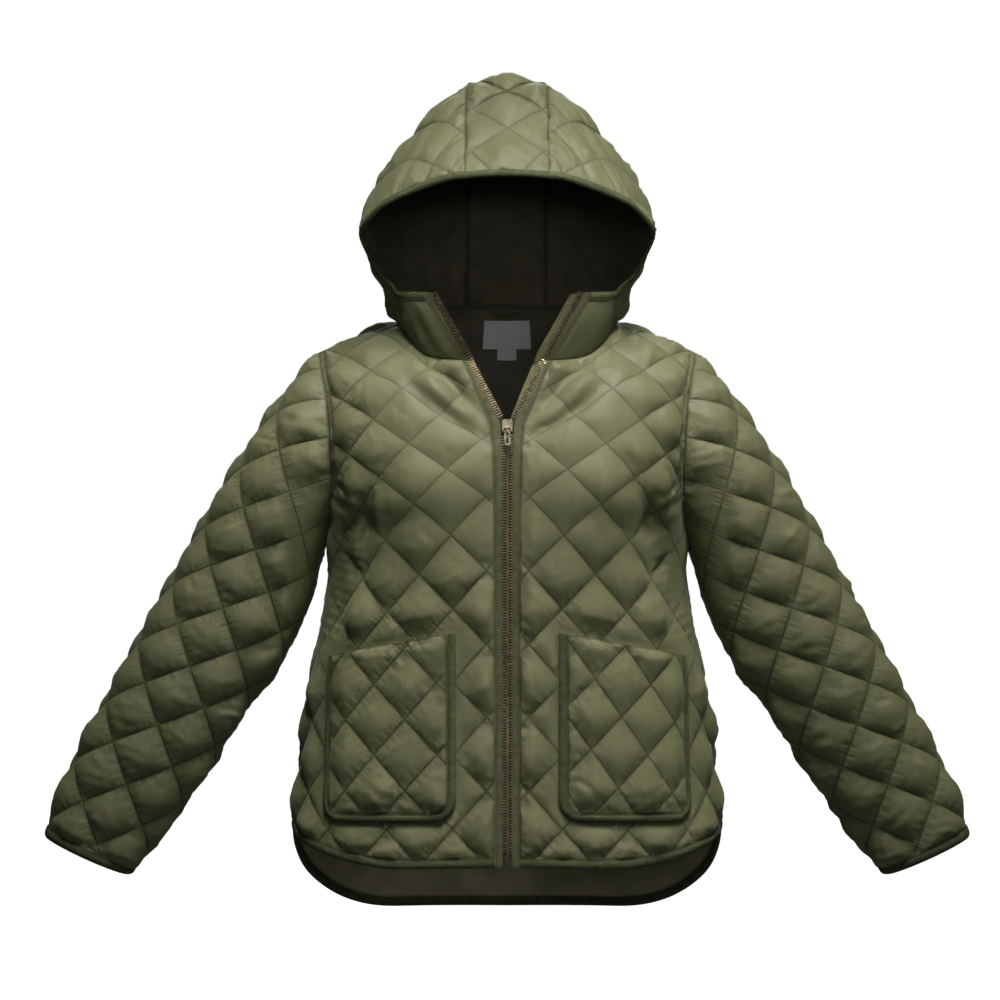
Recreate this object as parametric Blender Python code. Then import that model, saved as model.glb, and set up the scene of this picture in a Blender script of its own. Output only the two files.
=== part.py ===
"""Hooded quilted jacket, hollow, in the pose that it has on a wearer with the arms held away.

Each sewn piece is a wall of cloth of its own, 0.3 mm from its neighbours at the seams. A piece is
drawn as a smooth patch through a few sections, unrolled to its flat cut, quilted there in diamonds,
and laid back on the patch. All sizes below are in millimetres; the origin is at the base of the
neck, +Z is up, -Y is the front and +X is the wearer's left.
"""

import math
from collections import namedtuple

import bpy
import numpy as np
from mathutils import Vector, geometry

MM = 0.001

# ---- driving sizes, mm -------------------------------------------------------------------------
WALL = 3.0  # cloth, wadding and lining where they are stitched together
SEAM_GAP = 0.3  # between two pieces at a seam
BOUND_GAP = 0.4  # from the line of a seam to the binding beyond it
PUFF = 7.0  # how far a diamond stands over its stitch lines
PUFF_UNDER_POCKET = 0.2  # share of that left where a pocket presses on it
PUFF_UNDER_ARM = 0.15  # and where the sleeve lies against the side
SAMPLE = 26.0  # spacing of the points along an edge
SAMPLES_ZIP = 22  # steps along the front's edge at the zip
MOST_SAG = 1.3  # a stitch line is straight where the cloth's curve departs no more than this from it
INSIDE_STEP = 34.0  # spacing of the points of the plain inner face
CLEAR = 4.5  # nothing is placed nearer than this to an edge

DIAMOND_WIDE, DIAMOND_TALL = 73.5, 80.0  # from corner to corner, on the fronts and back
FIRST_COLUMN = 23.0  # first column of stitch crossings, from the zip's centre line
CROSSING_HEIGHT = -187.5  # height of one crossing in that column
CHEST_TIGHT = 0.83  # above it the rows are closer by this, as the chest takes up some length
SLEEVE_DIAMOND = (72.0, 75.0)
SLEEVE_CROSSING = (2.0, 47.5)  # a crossing, from the sleeve's top line and the shoulder
SLEEVE_LEAN, SLEEVE_TILT = -0.052, -0.047  # its columns follow the taper
HOOD_DIAMOND = (66.5, 70.5)
HOOD_CROSSING = (29.0, 28.5)  # from the hood's seam and the face
HOOD_TURN = 0.384  # tangent of the turn of the hood's sides on the quilted cloth
STRIP_DIAMOND = (80.0, 84.0)
STRIP_CROSSING = (40.0, 43.0)
STRIP_TIGHT = 1.6  # its rows are wider apart at the face, where the hood rises

BINDING = 9.0  # width of the bound edge of hem and cuffs
FACE_BINDING = 7.0  # width of the bound edge of the hood
TAPE_REACH = 13.5  # from the zip's centre line to the edge of the front
FACING_SHOWS = 9.5  # the left facing's edge that shows beyond the open chain
CHAIN_HALF = 4.2  # half the width of the closed zip chain
CHAIN_THICK = 2.6
PINCH = 1.2  # the tape is this much narrower where it crosses the neck seam
TAPE_THICK = 1.4

HEM_FRONT = -590.0  # lowest height of the front hem
HEM_BACK = -668.0  # and of the back hem, longer behind
HEM_SIDE = -556.0  # where both meet at the side seam
HEM_FRONT_FLAT = 125.0  # the hem is level this far from the centre, along the cloth
HEM_BACK_FLAT = 125.0
HEM_FRONT_CURVE = 1.5  # power of the rise towards the side
HEM_BACK_CURVE = 2.3

POCKET_INNER = 56.0  # side of the pocket towards the zip, from the zip's centre line
POCKET_WIDE = 157.0
POCKET_TOP = -334.0  # height of the top edge at its inner corner
POCKET_DROP = 22.0  # the top edge slants down this much to the side
POCKET_BOTTOM = -539.0
POCKET_CORNER = 24.0  # radius of the bottom corners
POCKET_LIFT = 4.2  # the pocket's lining face over the front's stitched surface
POCKET_EDGE_LIFT = 1.0  # and its sewn edge
POCKET_DIAMOND = (69.0, 78.0)
POCKET_CROSSING = (111.0, -426.5)  # one crossing, from the zip's centre line and its height
CUFF_STEPS = 8  # steps along each half of a cuff

LABEL_WIDE, LABEL_TALL, LABEL_DROP = 54.0, 35.0, 17.0  # the drop is from the neck seam
TAG_WIDE, TAG_TALL = 20.0, 13.0
LABEL_OFF = 1.8  # from the lining
LABEL_THICK = 0.8
LOOP_WIDE, LOOP_SAG, LOOP_BAND = 36.0, 7.0, 4.0
LOOP_OFF = 2.95  # from the lining's smooth surface, whose facets stand in front of it
LOOP_THICK = 1.2

SLIDER_TOP, SLIDER_BOTTOM = -104.0, -119.0  # heights of the slider's ends
SLIDER_PLATE = 5.6  # half the width of its plates
SLIDER_CORE = 3.9  # half the width of what joins them
STOP_TOP, STOP_HALF = -577.0, 3.0
PIN_HEIGHT = 3.2  # the pull's pin over the slider's plate
PIN_RADIUS, EYE_HOLE, EYE_RADIUS = 0.5, 0.85, 1.7
PULL_WIDE, PULL_LONG, PULL_THICK = 6.4, 21.0, 1.4
ROUND_SIDES = 16

# ---- sections: four points on the cloth, from the inner edge of a patch to its outer edge --------
Section = namedtuple("Section", "inner second third outer")
SHOULDER = Section((120, 5, 8), (152, 6, -1), (183, 6, -12), (213, 5, -25))
UNDERARM = (203, 0, -235)

FRONT_TOP = [
    SHOULDER,
    Section((116, -20, -2), (148, -23, -13), (180, -26, -28), (208, -26, -48)),
    Section((88, -60, -31), (131, -64, -45), (169, -61, -59), (202, -47, -75)),
    Section((39, -81, -38), (98, -91, -60), (153, -84, -82), (198.5, -61, -105)),
    Section((20.5, -94.5, -70.5), (84, -106, -92), (146, -98, -114), (196, -65, -137)),
    Section((1.5, -107.5, -105), (74, -118, -126), (144, -108, -149), (195, -58, -172)),
    Section((0, -124, -160), (75, -128, -176), (149, -109, -192), (198, -38, -208)),
]
SLIDER_ROW = 5  # the zip's open edges meet at this section
FRONT_NECK_ROWS = 3  # the sections before this one start on the neck seam, the others at the zip

BACK_TOP = [
    SHOULDER,
    Section((110, 32, 17), (144, 37, 4), (178, 39, -15), (208, 32, -48)),
    Section((70, 70, 29), (115, 79, 8), (160, 76, -26), (202, 56, -78)),
    Section((0, 82, 33), (70, 98, 8), (140, 101, -42), (199, 71, -108)),
    Section((0, 97, -5), (72, 112, -28), (142, 111, -78), (197, 77, -143)),
    Section((0, 107, -55), (74, 118, -77), (145, 113, -122), (197, 64, -184)),
    Section((0, 113, -112), (75, 121, -138), (150, 104, -178), (200, 35, -217)),
]
BACK_NECK_ROWS = 3

Hoop = namedtuple("Hoop", "height half_width front_depth back_depth")
HOOPS = [
    Hoop(-235, 203, 129, 116),
    Hoop(-275, 203, 130.5, 117),
    Hoop(-316, 210, 131, 117.5),
    Hoop(-373, 219, 132, 119),
    Hoop(-429, 226, 133, 121),
    Hoop(-486, 232, 135, 122),
    Hoop(-542, 240, 137, 124),
    Hoop(-600, 247, 139, 125),
    Hoop(-700, 256, 141, 126),
]
HOOP_POWER = 2.35  # of the superellipse, so that the front is flatter than an ellipse

# A sleeve's sections: the point on its top line and the one below, both in the XZ plane.
Cross = namedtuple("Cross", "top_x top_z low_x low_z middle_y front_depth back_depth")
SLEEVE = [
    Cross(213, -25, 203, -235, 5, 70, 73),
    Cross(247, -66, 207, -251, 3, 69, 70),
    Cross(283, -118, 212, -269, 0, 66, 66),
    Cross(319, -175, 217, -291, -1, 62, 61),
    Cross(351, -231, 225, -316, -3, 57, 57),
    Cross(382, -288, 250, -367, -6, 53, 53),
    Cross(413, -344, 287, -419, -10, 49, 49),
    Cross(443, -401, 322, -472, -14, 45, 45),
    Cross(473, -457, 357, -525, -18, 40, 40),
    Cross(500, -514, 394, -577, -22, 36, 36),
    Cross(518.5, -568, 423, -612, -25, 33, 33),
]

HOOD_SIDE = [
    Section((46, -114.5, 160), (47.5, -114.4, 159.8), (49, -114.3, 159.6), (50.5, -114.2, 159.4)),
    Section((46, -88, 187), (61, -96, 177), (76, -103, 164), (90, -105, 149)),
    Section((46, -58, 214), (78, -67, 198), (106, -80, 170), (127, -95, 136)),
    Section((46, 0, 261), (90, -11, 228), (130, -43, 169), (152, -80, 119)),
    Section((46, 50, 285), (99, 30, 229), (147, -10, 160), (163, -65, 104)),
    Section((46, 108, 256), (94, 100, 199), (146, 40, 134), (155, -50, 81)),
    Section((46, 136, 190), (102, 112, 140), (149, 44, 92), (139, -42, 55)),
    Section((46, 129, 121), (103, 101, 90), (140, 36, 60), (124, -45, 41)),
    Section((46, 106, 71), (98, 82, 55), (131, 25, 33), (119.5, -35, 17)),
    Section((46, 79.5, 31), (96, 54, 24), (119, 10, 9), (115, -25, -7)),
]
FACE_ROWS = 8  # the hood's sections before this one end at the face, the others at the collar
STRIP_RISE = 4.0  # the centre strip stands this much over its own seams

COLLAR = [
    Section((39, -81, -38), (65, -74, -38), (93, -56, -28), (115, -25, -7)),
    Section((58, -82, -2), (80, -76, -1), (104, -61, 5), (119.5, -35, 17)),
    Section((79, -79, 36), (92, -73, 38), (109, -61, 39), (124, -45, 41)),
]

# Folds pressed into the front: a line through three places (x, z), seen from the front.
Fold = namedtuple("Fold", "x0 z0 x1 z1 x2 z2 depth width")
FOLDS = [
    Fold(139, -160, 163, -236, 204, -345, 11, 17),  # from the bust to the side, under the arm
    Fold(98, -38, 58, -66, 22, -112, 8, 9),  # the collarbone folds run to the slider
    Fold(118, -48, 74, -92, 20, -124, 6, 10),
]

Colour = namedtuple("Colour", "red green blue roughness metallic")
OLIVE = Colour(0.175, 0.190, 0.095, 0.55, 0.0)
LINING = Colour(0.035, 0.031, 0.022, 0.70, 0.0)
BINDING_CLOTH = Colour(0.050, 0.055, 0.032, 0.80, 0.0)
TAPE_CLOTH = Colour(0.065, 0.062, 0.035, 0.85, 0.0)
BRASS = Colour(0.240, 0.170, 0.095, 0.38, 1.0)
WHITE_WOVEN = Colour(0.600, 0.600, 0.580, 0.75, 0.0)


# ---- curves and surfaces -------------------------------------------------------------------------
def hermite(first, last, leave, arrive, f):
    """The cubic from first to last with those slopes, at the share f of the way."""
    return (
        (1 + 2 * f) * (1 - f) ** 2 * first
        + f * (1 - f) ** 2 * leave
        + f * f * (3 - 2 * f) * last
        - f * f * (1 - f) * arrive
    )


def slopes_of(knots, values, corners=()):
    """The slopes at knots, arriving and leaving. At a corner the inner columns have two."""
    arrive = np.gradient(values, knots, axis=0, edge_order=2)
    leave = arrive.copy()
    ends = [0, *corners, len(knots) - 1]
    for k in corners:
        before, after = ends[ends.index(k) - 1], ends[ends.index(k) + 1]
        sharp = np.clip(1 - 2 * np.linspace(0, 1, values.shape[1]), 0, 1)[:, None]
        above = np.gradient(values[before : k + 1], knots[before : k + 1], axis=0, edge_order=2)[-1]
        below = np.gradient(values[k : after + 1], knots[k : after + 1], axis=0, edge_order=2)[0]
        arrive[k], leave[k] = (arrive[k] * (1 - sharp) + side * sharp for side in (above, below))
    return arrive, leave


def spline(knots, values, at, slopes):
    """A smooth curve through values at knots, read at each number of at."""
    arrive, leave = slopes
    i = np.clip(np.searchsorted(knots, at) - 1, 0, len(knots) - 2)
    width = knots[i + 1] - knots[i]
    f = (at - knots[i]) / width
    shape = (-1,) + (1,) * (values.ndim - 1)
    f, width = f.reshape(shape), width.reshape(shape)
    return hermite(values[i], values[i + 1], width * leave[i], width * arrive[i + 1], f)


def unit(vectors):
    return vectors / np.maximum(np.linalg.norm(vectors, axis=-1, keepdims=True), 1e-12)


def lengths_along(points):
    """The distance from the first point to each point, along the points."""
    steps = np.linalg.norm(np.diff(points, axis=0), axis=1)
    return np.concatenate([[0.0], np.cumsum(steps)])


def resample(points, count):
    """count + 1 points evenly along a line of points."""
    along = lengths_along(points)
    at = np.linspace(0, along[-1], count + 1)
    return np.stack([np.interp(at, along, points[:, k]) for k in range(points.shape[1])], axis=1)


COLUMNS = 7  # points across a section, after it is smoothed
Edge = namedtuple("Edge", "places points")  # a run of an outline: in the flat cut and in space


def smoothed(section):
    """COLUMNS points on the cubic through the four points of a section."""
    points = np.array(section, float)
    at = np.linspace(0, 3, COLUMNS)
    weights = np.ones((COLUMNS, 4))
    for i in range(4):
        for j in range(4):
            if i != j:
                weights[:, i] *= (at - j) / (i - j)
    return weights @ points


def hoop_points(half_width, depth, inner_height, outer_height):
    """COLUMNS points evenly along a quarter of the body, from the centre to the side."""
    angle = np.linspace(0, math.pi / 2, 200)
    x = half_width * np.sin(angle) ** (2 / HOOP_POWER)
    y = depth * np.cos(angle) ** (2 / HOOP_POWER)
    quarter = resample(np.stack([x, y], axis=1), COLUMNS - 1)
    height = np.linspace(inner_height, outer_height, COLUMNS)
    return np.column_stack([quarter, height])


def cross_points(cross, front):
    """COLUMNS points over half of a sleeve, from its top line to its lower line."""
    angle = np.linspace(0, math.pi, COLUMNS)
    top = np.array([cross.top_x, cross.middle_y, cross.top_z])
    low = np.array([cross.low_x, cross.middle_y, cross.low_z])
    depth = -cross.front_depth if front else cross.back_depth
    middle, half = (top + low) / 2, (top - low) / 2
    bulge = np.sin(angle)[:, None] ** 0.9 * np.array([0, depth, 0])
    return middle + np.cos(angle)[:, None] * half + bulge


def unroll(points, faces, pinned, flat_places, rounds=60):
    """Lays a curved sheet flat with as little stretch as cloth has: each face keeps its shape and
    only turns, and the pinned points stay where they are."""
    corner = points[faces]
    first, second = corner[:, 1] - corner[:, 0], corner[:, 2] - corner[:, 0]
    along = unit(first)
    side = unit(np.cross(np.cross(first, second), along))
    shape = np.zeros((len(faces), 3, 2))
    shape[:, 1, 0] = np.linalg.norm(first, axis=1)
    shape[:, 2, 0] = (second * along).sum(1)
    shape[:, 2, 1] = (second * side).sum(1)
    count = len(points)
    matrix = np.zeros((count, count))
    edges = []
    for k in range(3):
        i, j, other = faces[:, k], faces[:, (k + 1) % 3], (k + 2) % 3
        p, q = shape[:, k] - shape[:, other], shape[:, (k + 1) % 3] - shape[:, other]
        weight = (p * q).sum(1) / np.maximum(np.abs(p[:, 0] * q[:, 1] - p[:, 1] * q[:, 0]), 1e-9)
        weight = np.clip(weight, 0.02, 20)
        edges.append((i, j, weight, shape[:, k] - shape[:, (k + 1) % 3]))
        np.add.at(matrix, (i, i), weight)
        np.add.at(matrix, (j, j), weight)
        np.add.at(matrix, (i, j), -weight)
        np.add.at(matrix, (j, i), -weight)
    free = ~pinned
    inverse = np.linalg.inv(matrix[np.ix_(free, free)])
    flat = flat_places.copy()
    for _ in range(rounds):
        spin = np.zeros((len(faces), 2, 2))
        for i, j, weight, edge in edges:
            spin += weight[:, None, None] * edge[:, :, None] * (flat[i] - flat[j])[:, None, :]
        angle = np.arctan2(spin[:, 0, 1] - spin[:, 1, 0], spin[:, 0, 0] + spin[:, 1, 1])
        cos, sin = np.cos(angle)[:, None], np.sin(angle)[:, None]
        pull = np.zeros((count, 2))
        for i, j, weight, edge in edges:
            turned = np.hstack([cos * edge[:, :1] - sin * edge[:, 1:], sin * edge[:, :1] + cos * edge[:, 1:]])
            np.add.at(pull, i, weight[:, None] * turned)
            np.add.at(pull, j, -weight[:, None] * turned)
        flat[free] = inverse @ (pull[free] - matrix[np.ix_(free, pinned)] @ flat[pinned])
    return flat


def fold_depth(points):
    """How far the folds of the front press each point in."""
    depth = np.zeros(len(points))
    place = points[:, [0, 2]]
    for fold in FOLDS:
        ends = np.array([[fold.x0, fold.z0], [fold.x1, fold.z1], [fold.x2, fold.z2]], float)
        f = np.linspace(0, 1, 24)[:, None]
        line = (1 - f) ** 2 * ends[0] + 2 * f * (1 - f) * (2 * ends[1] - (ends[0] + ends[2]) / 2) + f * f * ends[2]
        gap = np.linalg.norm(place[:, None] - line[None], axis=2)
        nearest = gap.argmin(1)
        fade = np.sin(math.pi * np.clip(f[nearest, 0] * 0.9 + 0.05, 0, 1)) ** 0.6
        depth += fold.depth * fade * np.exp(-((gap.min(1) / fold.width) ** 2))
    return depth


class Patch:
    """A piece of the jacket's surface, on the +X side: s runs from its inner edge (0) to its outer
    edge (1) and t from its first section (0) to its last (1). It knows its own flat cut."""

    def __init__(self, rows, inside, paced_by=None, corners=(), pinned_from=0, folded=False, grid=(13, 31)):
        self.rows = np.array(rows, float)
        pace = self.rows if paced_by is None else self.rows[:, paced_by][:, None]
        steps = np.linalg.norm(np.diff(pace, axis=0), axis=2).mean(axis=1)
        self.knots = np.concatenate([[0.0], np.cumsum(steps)]) / steps.sum()
        self.slopes = slopes_of(self.knots, self.rows, corners)
        self.folded = folded
        self.facing = 1.0
        middle, normal = self.spot(np.array([0.5]), np.array([0.6]))
        if (normal * (middle - np.array(inside, float))).sum() < 0:
            self.facing = -1.0
        self.lay(grid, self.knots[pinned_from])

    def plain(self, s, t):
        across = spline(self.knots, self.rows, t, self.slopes)
        slopes = np.gradient(across, axis=1, edge_order=2)
        x = s * (COLUMNS - 1)
        i = np.clip(x.astype(int), 0, COLUMNS - 2)
        n = np.arange(len(s))
        return hermite(across[n, i], across[n, i + 1], slopes[n, i], slopes[n, i + 1], (x - i)[:, None])

    def turned(self, surface, s, t):
        e = 0.004
        s0, s1 = np.clip(s - e, 0, 1), np.clip(s + e, 0, 1)
        t0, t1 = np.clip(t - e, 0, 1), np.clip(t + e, 0, 1)
        across, down = surface(s1, t) - surface(s0, t), surface(s, t1) - surface(s, t0)
        return self.facing * unit(np.cross(across, down))

    def at(self, s, t):
        points = self.plain(s, t)
        if self.folded:
            points = points - self.turned(self.plain, s, t) * fold_depth(points)[:, None]
        return points

    def spot(self, s, t):
        """Points of the surface and the directions out of it."""
        return self.at(s, t), self.turned(self.at, s, t)

    def lay(self, grid, pinned_from):
        self.grid = grid
        across, down = grid
        s, t = np.meshgrid(np.linspace(0, 1, across), np.linspace(0, 1, down))
        pinned_row = int(np.ceil(pinned_from * (down - 1) - 1e-9))
        t[pinned_row] = t[pinned_row] if pinned_from == 0 else pinned_from
        self.grid_t = t[:, 0].copy()
        points = self.at(s.ravel(), t.ravel())
        square = points.reshape(down, across, 3)
        pinned = np.zeros((down, across), bool)
        pinned[pinned_row:, 0] = True
        places = np.zeros((down, across, 2))
        steps = np.linalg.norm(np.diff(square, axis=1), axis=2)
        places[:, 1:, 0] = np.cumsum(steps, axis=1)
        places[:pinned_row, :, 0] += square[:pinned_row, :1, 0]
        run = lengths_along(square[:, 0])
        places[:, :, 1] = (run - run[pinned_row])[:, None]
        index = np.arange(down * across).reshape(down, across)
        a, b, c, d = index[:-1, :-1].ravel(), index[:-1, 1:].ravel(), index[1:, 1:].ravel(), index[1:, :-1].ravel()
        faces = np.vstack([np.column_stack([a, b, c]), np.column_stack([a, c, d])])
        flat = unroll(points, faces, pinned.ravel(), places.reshape(-1, 2))
        self.flat = flat.reshape(down, across, 2)

    def cut(self, s, t):
        """Where places of the surface lie in the flat cut."""
        across = self.grid[0]
        x = np.clip(s, 0, 1) * (across - 1)
        y = np.interp(t, self.grid_t, np.arange(len(self.grid_t)))
        i, j = np.clip(x.astype(int), 0, across - 2), np.clip(y.astype(int), 0, len(self.grid_t) - 2)
        fx, fy = (x - i)[:, None], (y - j)[:, None]
        flat = self.flat
        upper = flat[j, i] * (1 - fx) + flat[j, i + 1] * fx
        lower = flat[j + 1, i] * (1 - fx) + flat[j + 1, i + 1] * fx
        return upper * (1 - fy) + lower * fy

    def find(self, places):
        """The s and t of places in the flat cut."""
        across, down = self.grid
        near = np.zeros(len(places), int)
        grid = self.flat.reshape(-1, 2)
        for start in range(0, len(places), 2000):
            block = places[start : start + 2000]
            near[start : start + 2000] = ((block[:, None] - grid[None]) ** 2).sum(2).argmin(1)
        s = (near % across) / (across - 1)
        t = self.grid_t[near // across]
        e = 0.003
        for _ in range(14):
            miss = places - self.cut(s, t)
            s0, s1 = np.clip(s - e, 0, 1), np.clip(s + e, 0, 1)
            t0, t1 = np.clip(t - e, 0, 1), np.clip(t + e, 0, 1)
            by_s = (self.cut(s1, t) - self.cut(s0, t)) / (s1 - s0)[:, None]
            by_t = (self.cut(s, t1) - self.cut(s, t0)) / (t1 - t0)[:, None]
            area = by_s[:, 0] * by_t[:, 1] - by_s[:, 1] * by_t[:, 0]
            area = np.where(np.abs(area) < 1e-6, 1e-6, area)
            s = np.clip(s + 0.8 * (miss[:, 0] * by_t[:, 1] - miss[:, 1] * by_t[:, 0]) / area, 0, 1)
            t = np.clip(t + 0.8 * (by_s[:, 0] * miss[:, 1] - by_s[:, 1] * miss[:, 0]) / area, 0, 1)
        return s, t

    def t_at_height(self, s, height):
        t = np.linspace(0.15, 1, 400)
        z = self.at(np.full(400, float(s)), t)[:, 2]
        return float(np.interp(-height, -z, t))

    def line(self, s_from, t_from, s_to, t_to, count):
        """count + 1 points evenly along a straight line of s and t, as an Edge."""
        f = np.linspace(0, 1, 200)
        s, t = s_from + (s_to - s_from) * f, t_from + (t_to - t_from) * f
        along = lengths_along(self.at(s, t))
        f = np.interp(np.linspace(0, along[-1], count + 1), along, f)
        s, t = s_from + (s_to - s_from) * f, t_from + (t_to - t_from) * f
        return Edge(self.cut(s, t), self.at(s, t))

    def length(self, s_from, t_from, s_to, t_to):
        f = np.linspace(0, 1, 100)
        return lengths_along(self.at(s_from + (s_to - s_from) * f, t_from + (t_to - t_from) * f))[-1]


class Cloth:
    """One flat cut. Its +U side lies on one patch and its -U side on another, or on the mirror image
    of the same one. side is -1 for the pieces of the wearer's right."""

    def __init__(self, right, left=None, side=1):
        self.right, self.left, self.side = right, left, side

    def spot(self, places):
        places = np.asarray(places, float)
        u = places[:, 0]
        points, normals = np.zeros((len(u), 3)), np.zeros((len(u), 3))
        for patch, sign in ((self.right, 1), (self.left, -1)):
            here = u >= -1e-9 if sign == 1 else u < 1e-9
            if patch is None or not here.any():
                continue
            mirrored = sign == -1 and self.left is self.right
            s, t = patch.find(places[here] * [sign, 1])
            p, n = patch.spot(s, t)
            if mirrored:
                p, n = p * [-1, 1, 1], n * [-1, 1, 1]
            points[here] = p
            normals[here] += n
        return points * [self.side, 1, 1], unit(normals) * [self.side, 1, 1]


# ---- quilting ------------------------------------------------------------------------------------
# A diamond's size, one crossing, how far the columns lean and the rows tilt, and how close together
# the rows above the crossing are
Lattice = namedtuple("Lattice", "wide tall u v lean tilt tight", defaults=(0.0, 0.0, 1.0))


def lattice_ab(lattice, places):
    """Counts of stitch lines crossed: both numbers are whole where two lines cross."""
    u, v = places[:, 0] - lattice.u, places[:, 1] - lattice.v
    across, down = u - lattice.lean * v, v - lattice.tilt * u
    down = np.where(down < 0, down / lattice.tight, down)
    x, y = across / lattice.wide, down / lattice.tall
    return x + y, x - y


def lattice_place(lattice, a, b):
    across, down = (a + b) / 2 * lattice.wide, (a - b) / 2 * lattice.tall
    down = np.where(down < 0, down * lattice.tight, down)
    v = (down + lattice.tilt * across) / (1 - lattice.tilt * lattice.lean)
    return np.column_stack([lattice.u + across + lattice.lean * v, lattice.v + v])


def puff(lattice, places):
    """The height of the quilting, from 0 on a stitch line to 1 in the middle of a diamond."""
    a, b = lattice_ab(lattice, places)
    return np.sqrt(np.abs(np.sin(math.pi * a) * np.sin(math.pi * b)))


def inside(outline, places):
    x, y = places[:, 0][:, None], places[:, 1][:, None]
    x0, y0 = outline[:, 0], outline[:, 1]
    x1, y1 = np.roll(x0, -1), np.roll(y0, -1)
    crosses = (y0 > y) != (y1 > y)
    rise = np.where(y1 == y0, 1e-12, y1 - y0)
    return ((crosses & (x < (x1 - x0) * (y - y0) / rise + x0)).sum(1) % 2).astype(bool)


def from_outline(outline, places):
    """The distance from each place to the nearest edge of an outline."""
    start, step = outline, np.roll(outline, -1, axis=0) - outline
    best = np.full(len(places), 1e9)
    for a, d in zip(start, step):
        f = np.clip(((places - a) @ d) / max(d @ d, 1e-12), 0, 1)
        best = np.minimum(best, np.linalg.norm(places - a - f[:, None] * d, axis=1))
    return best


def stitch_lines(lattice, outline):
    """The stitch lines about an outline, each as its start, middle and end, and the places where
    the diamonds are highest."""
    a, b = lattice_ab(lattice, outline)
    pieces, bumps = [], []
    for i in range(math.floor(a.min()) - 1, math.ceil(a.max()) + 2):
        for j in range(math.floor(b.min()) - 1, math.ceil(b.max()) + 2):
            pieces.append([(i, j), (i + 0.5, j), (i + 1, j)])
            pieces.append([(i, j), (i, j + 0.5), (i, j + 1)])
            bumps += [(i + x, j + y) for x in (0.28, 0.72) for y in (0.28, 0.72)]
    ends = np.array(pieces, float).reshape(-1, 2)
    bumps = np.array(bumps, float)
    ends = lattice_place(lattice, ends[:, 0], ends[:, 1])
    return ends.reshape(-1, 3, 2), lattice_place(lattice, bumps[:, 0], bumps[:, 1])


def crossing(outline, start, end):
    """The first place where a line from start through end leaves an outline: (edge, share)."""
    d = end - start
    best = None
    for k in range(len(outline)):
        p = outline[k]
        e = outline[(k + 1) % len(outline)] - p
        area = d[0] * e[1] - d[1] * e[0]
        if abs(area) < 1e-9:
            continue
        f = ((p[0] - start[0]) * e[1] - (p[1] - start[1]) * e[0]) / area
        g = ((p[0] - start[0]) * d[1] - (p[1] - start[1]) * d[0]) / area
        if 0 < f <= 1.35 and 0 <= g <= 1 and (best is None or f < best[0]):
            best = (f, k, g)
    return best and best[1:]


def uncrossed(places, edges, fixed):
    """The edges that cross no edge before them; the first few are kept in any case."""
    kept = list(edges[:fixed])
    for edge in edges[fixed:]:
        p, q = places[edge[0]], places[edge[1]]
        others = [other for other in kept if not set(other) & set(edge)]
        r, s = places[[other[0] for other in others]], places[[other[1] for other in others]]

        def side(a, b, c):
            return (b[..., 0] - a[..., 0]) * (c[..., 1] - a[..., 1]) - (b[..., 1] - a[..., 1]) * (c[..., 0] - a[..., 0])

        crosses = (side(p, q, r) * side(p, q, s) <= 0) & (side(r, s, p) * side(r, s, q) <= 0)
        if not crosses.any() and edge[0] != edge[1]:
            kept.append(edge)
    return kept


def triangulated(outline_count, places, lines):
    """Triangles over places, whose first ones are the outline, with lines as their edges."""
    edges = [(k, (k + 1) % outline_count) for k in range(outline_count)]
    edges = uncrossed(places, edges + lines, outline_count)
    vectors = [Vector((float(u), float(v))) for u, v in places]
    found = geometry.delaunay_2d_cdt(vectors, edges, [], 1, 1e-5)
    if len(found[0]) != len(places):
        raise RuntimeError("the triangulation merged or added places")
    order = [ids[0] for ids in found[3]]
    return [tuple(order[i] for i in face) for face in found[2]]


# ---- solids --------------------------------------------------------------------------------------
def material(name, colour):
    found = bpy.data.materials.get(name)
    if found:
        return found
    made = bpy.data.materials.new(name)
    made.use_nodes = True
    made.diffuse_color = (colour.red, colour.green, colour.blue, 1)
    shader = made.node_tree.nodes["Principled BSDF"]
    shader.inputs["Base Color"].default_value = (colour.red, colour.green, colour.blue, 1)
    shader.inputs["Roughness"].default_value = colour.roughness
    shader.inputs["Metallic"].default_value = colour.metallic
    return made


MATERIALS = {
    "quilted_shell": OLIVE,
    "lining": LINING,
    "binding_cloth": BINDING_CLOTH,
    "zip_tape_cloth": TAPE_CLOTH,
    "antique_brass": BRASS,
    "woven_label": WHITE_WOVEN,
}


def add_object(name, points, faces, cloth, smooth=True):
    """An object from points in millimetres; its faces are turned to point out of the solid."""
    corner = np.array(points, float)
    volume = 0.0
    for face in faces:
        for k in range(1, len(face) - 1):
            volume += np.dot(corner[face[0]], np.cross(corner[face[k]], corner[face[k + 1]]))
    if volume < 0:
        faces = [tuple(reversed(face)) for face in faces]
    mesh = bpy.data.meshes.new(name)
    mesh.from_pydata([tuple(p) for p in corner * MM], [], faces)
    mesh.materials.append(material(cloth, MATERIALS[cloth]))
    if smooth:
        mesh.shade_smooth()
        mesh.set_sharp_from_angle(angle=math.radians(40))
    made = bpy.data.objects.new(name, mesh)
    bpy.data.collections["jacket"].objects.link(made)
    return made


SEAM_NORMALS = {}  # the way out of the cloth at each point of a seam, of all its pieces together
SEAM_NEXT = {}  # the points beside it along the seams


def seam_key(point):
    return tuple(np.round(np.abs(point[0:1]), 1)) + tuple(np.round(point[1:], 1))


def settle_seams(rounds=3):
    """Smooths the ways out along the seams, so that two pieces keep their gap between two points."""
    for key, all_ways in SEAM_NORMALS.items():
        SEAM_NORMALS[key] = unit(sum(all_ways))
    for _ in range(rounds):
        ways = {}
        for key, beside in SEAM_NEXT.items():
            way = SEAM_NORMALS[key] + 0.5 * sum(SEAM_NORMALS[other] for other in beside)
            ways[key] = unit(way * [key[0] > 0.05, 1, 1])
        SEAM_NORMALS.update(ways)


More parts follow.
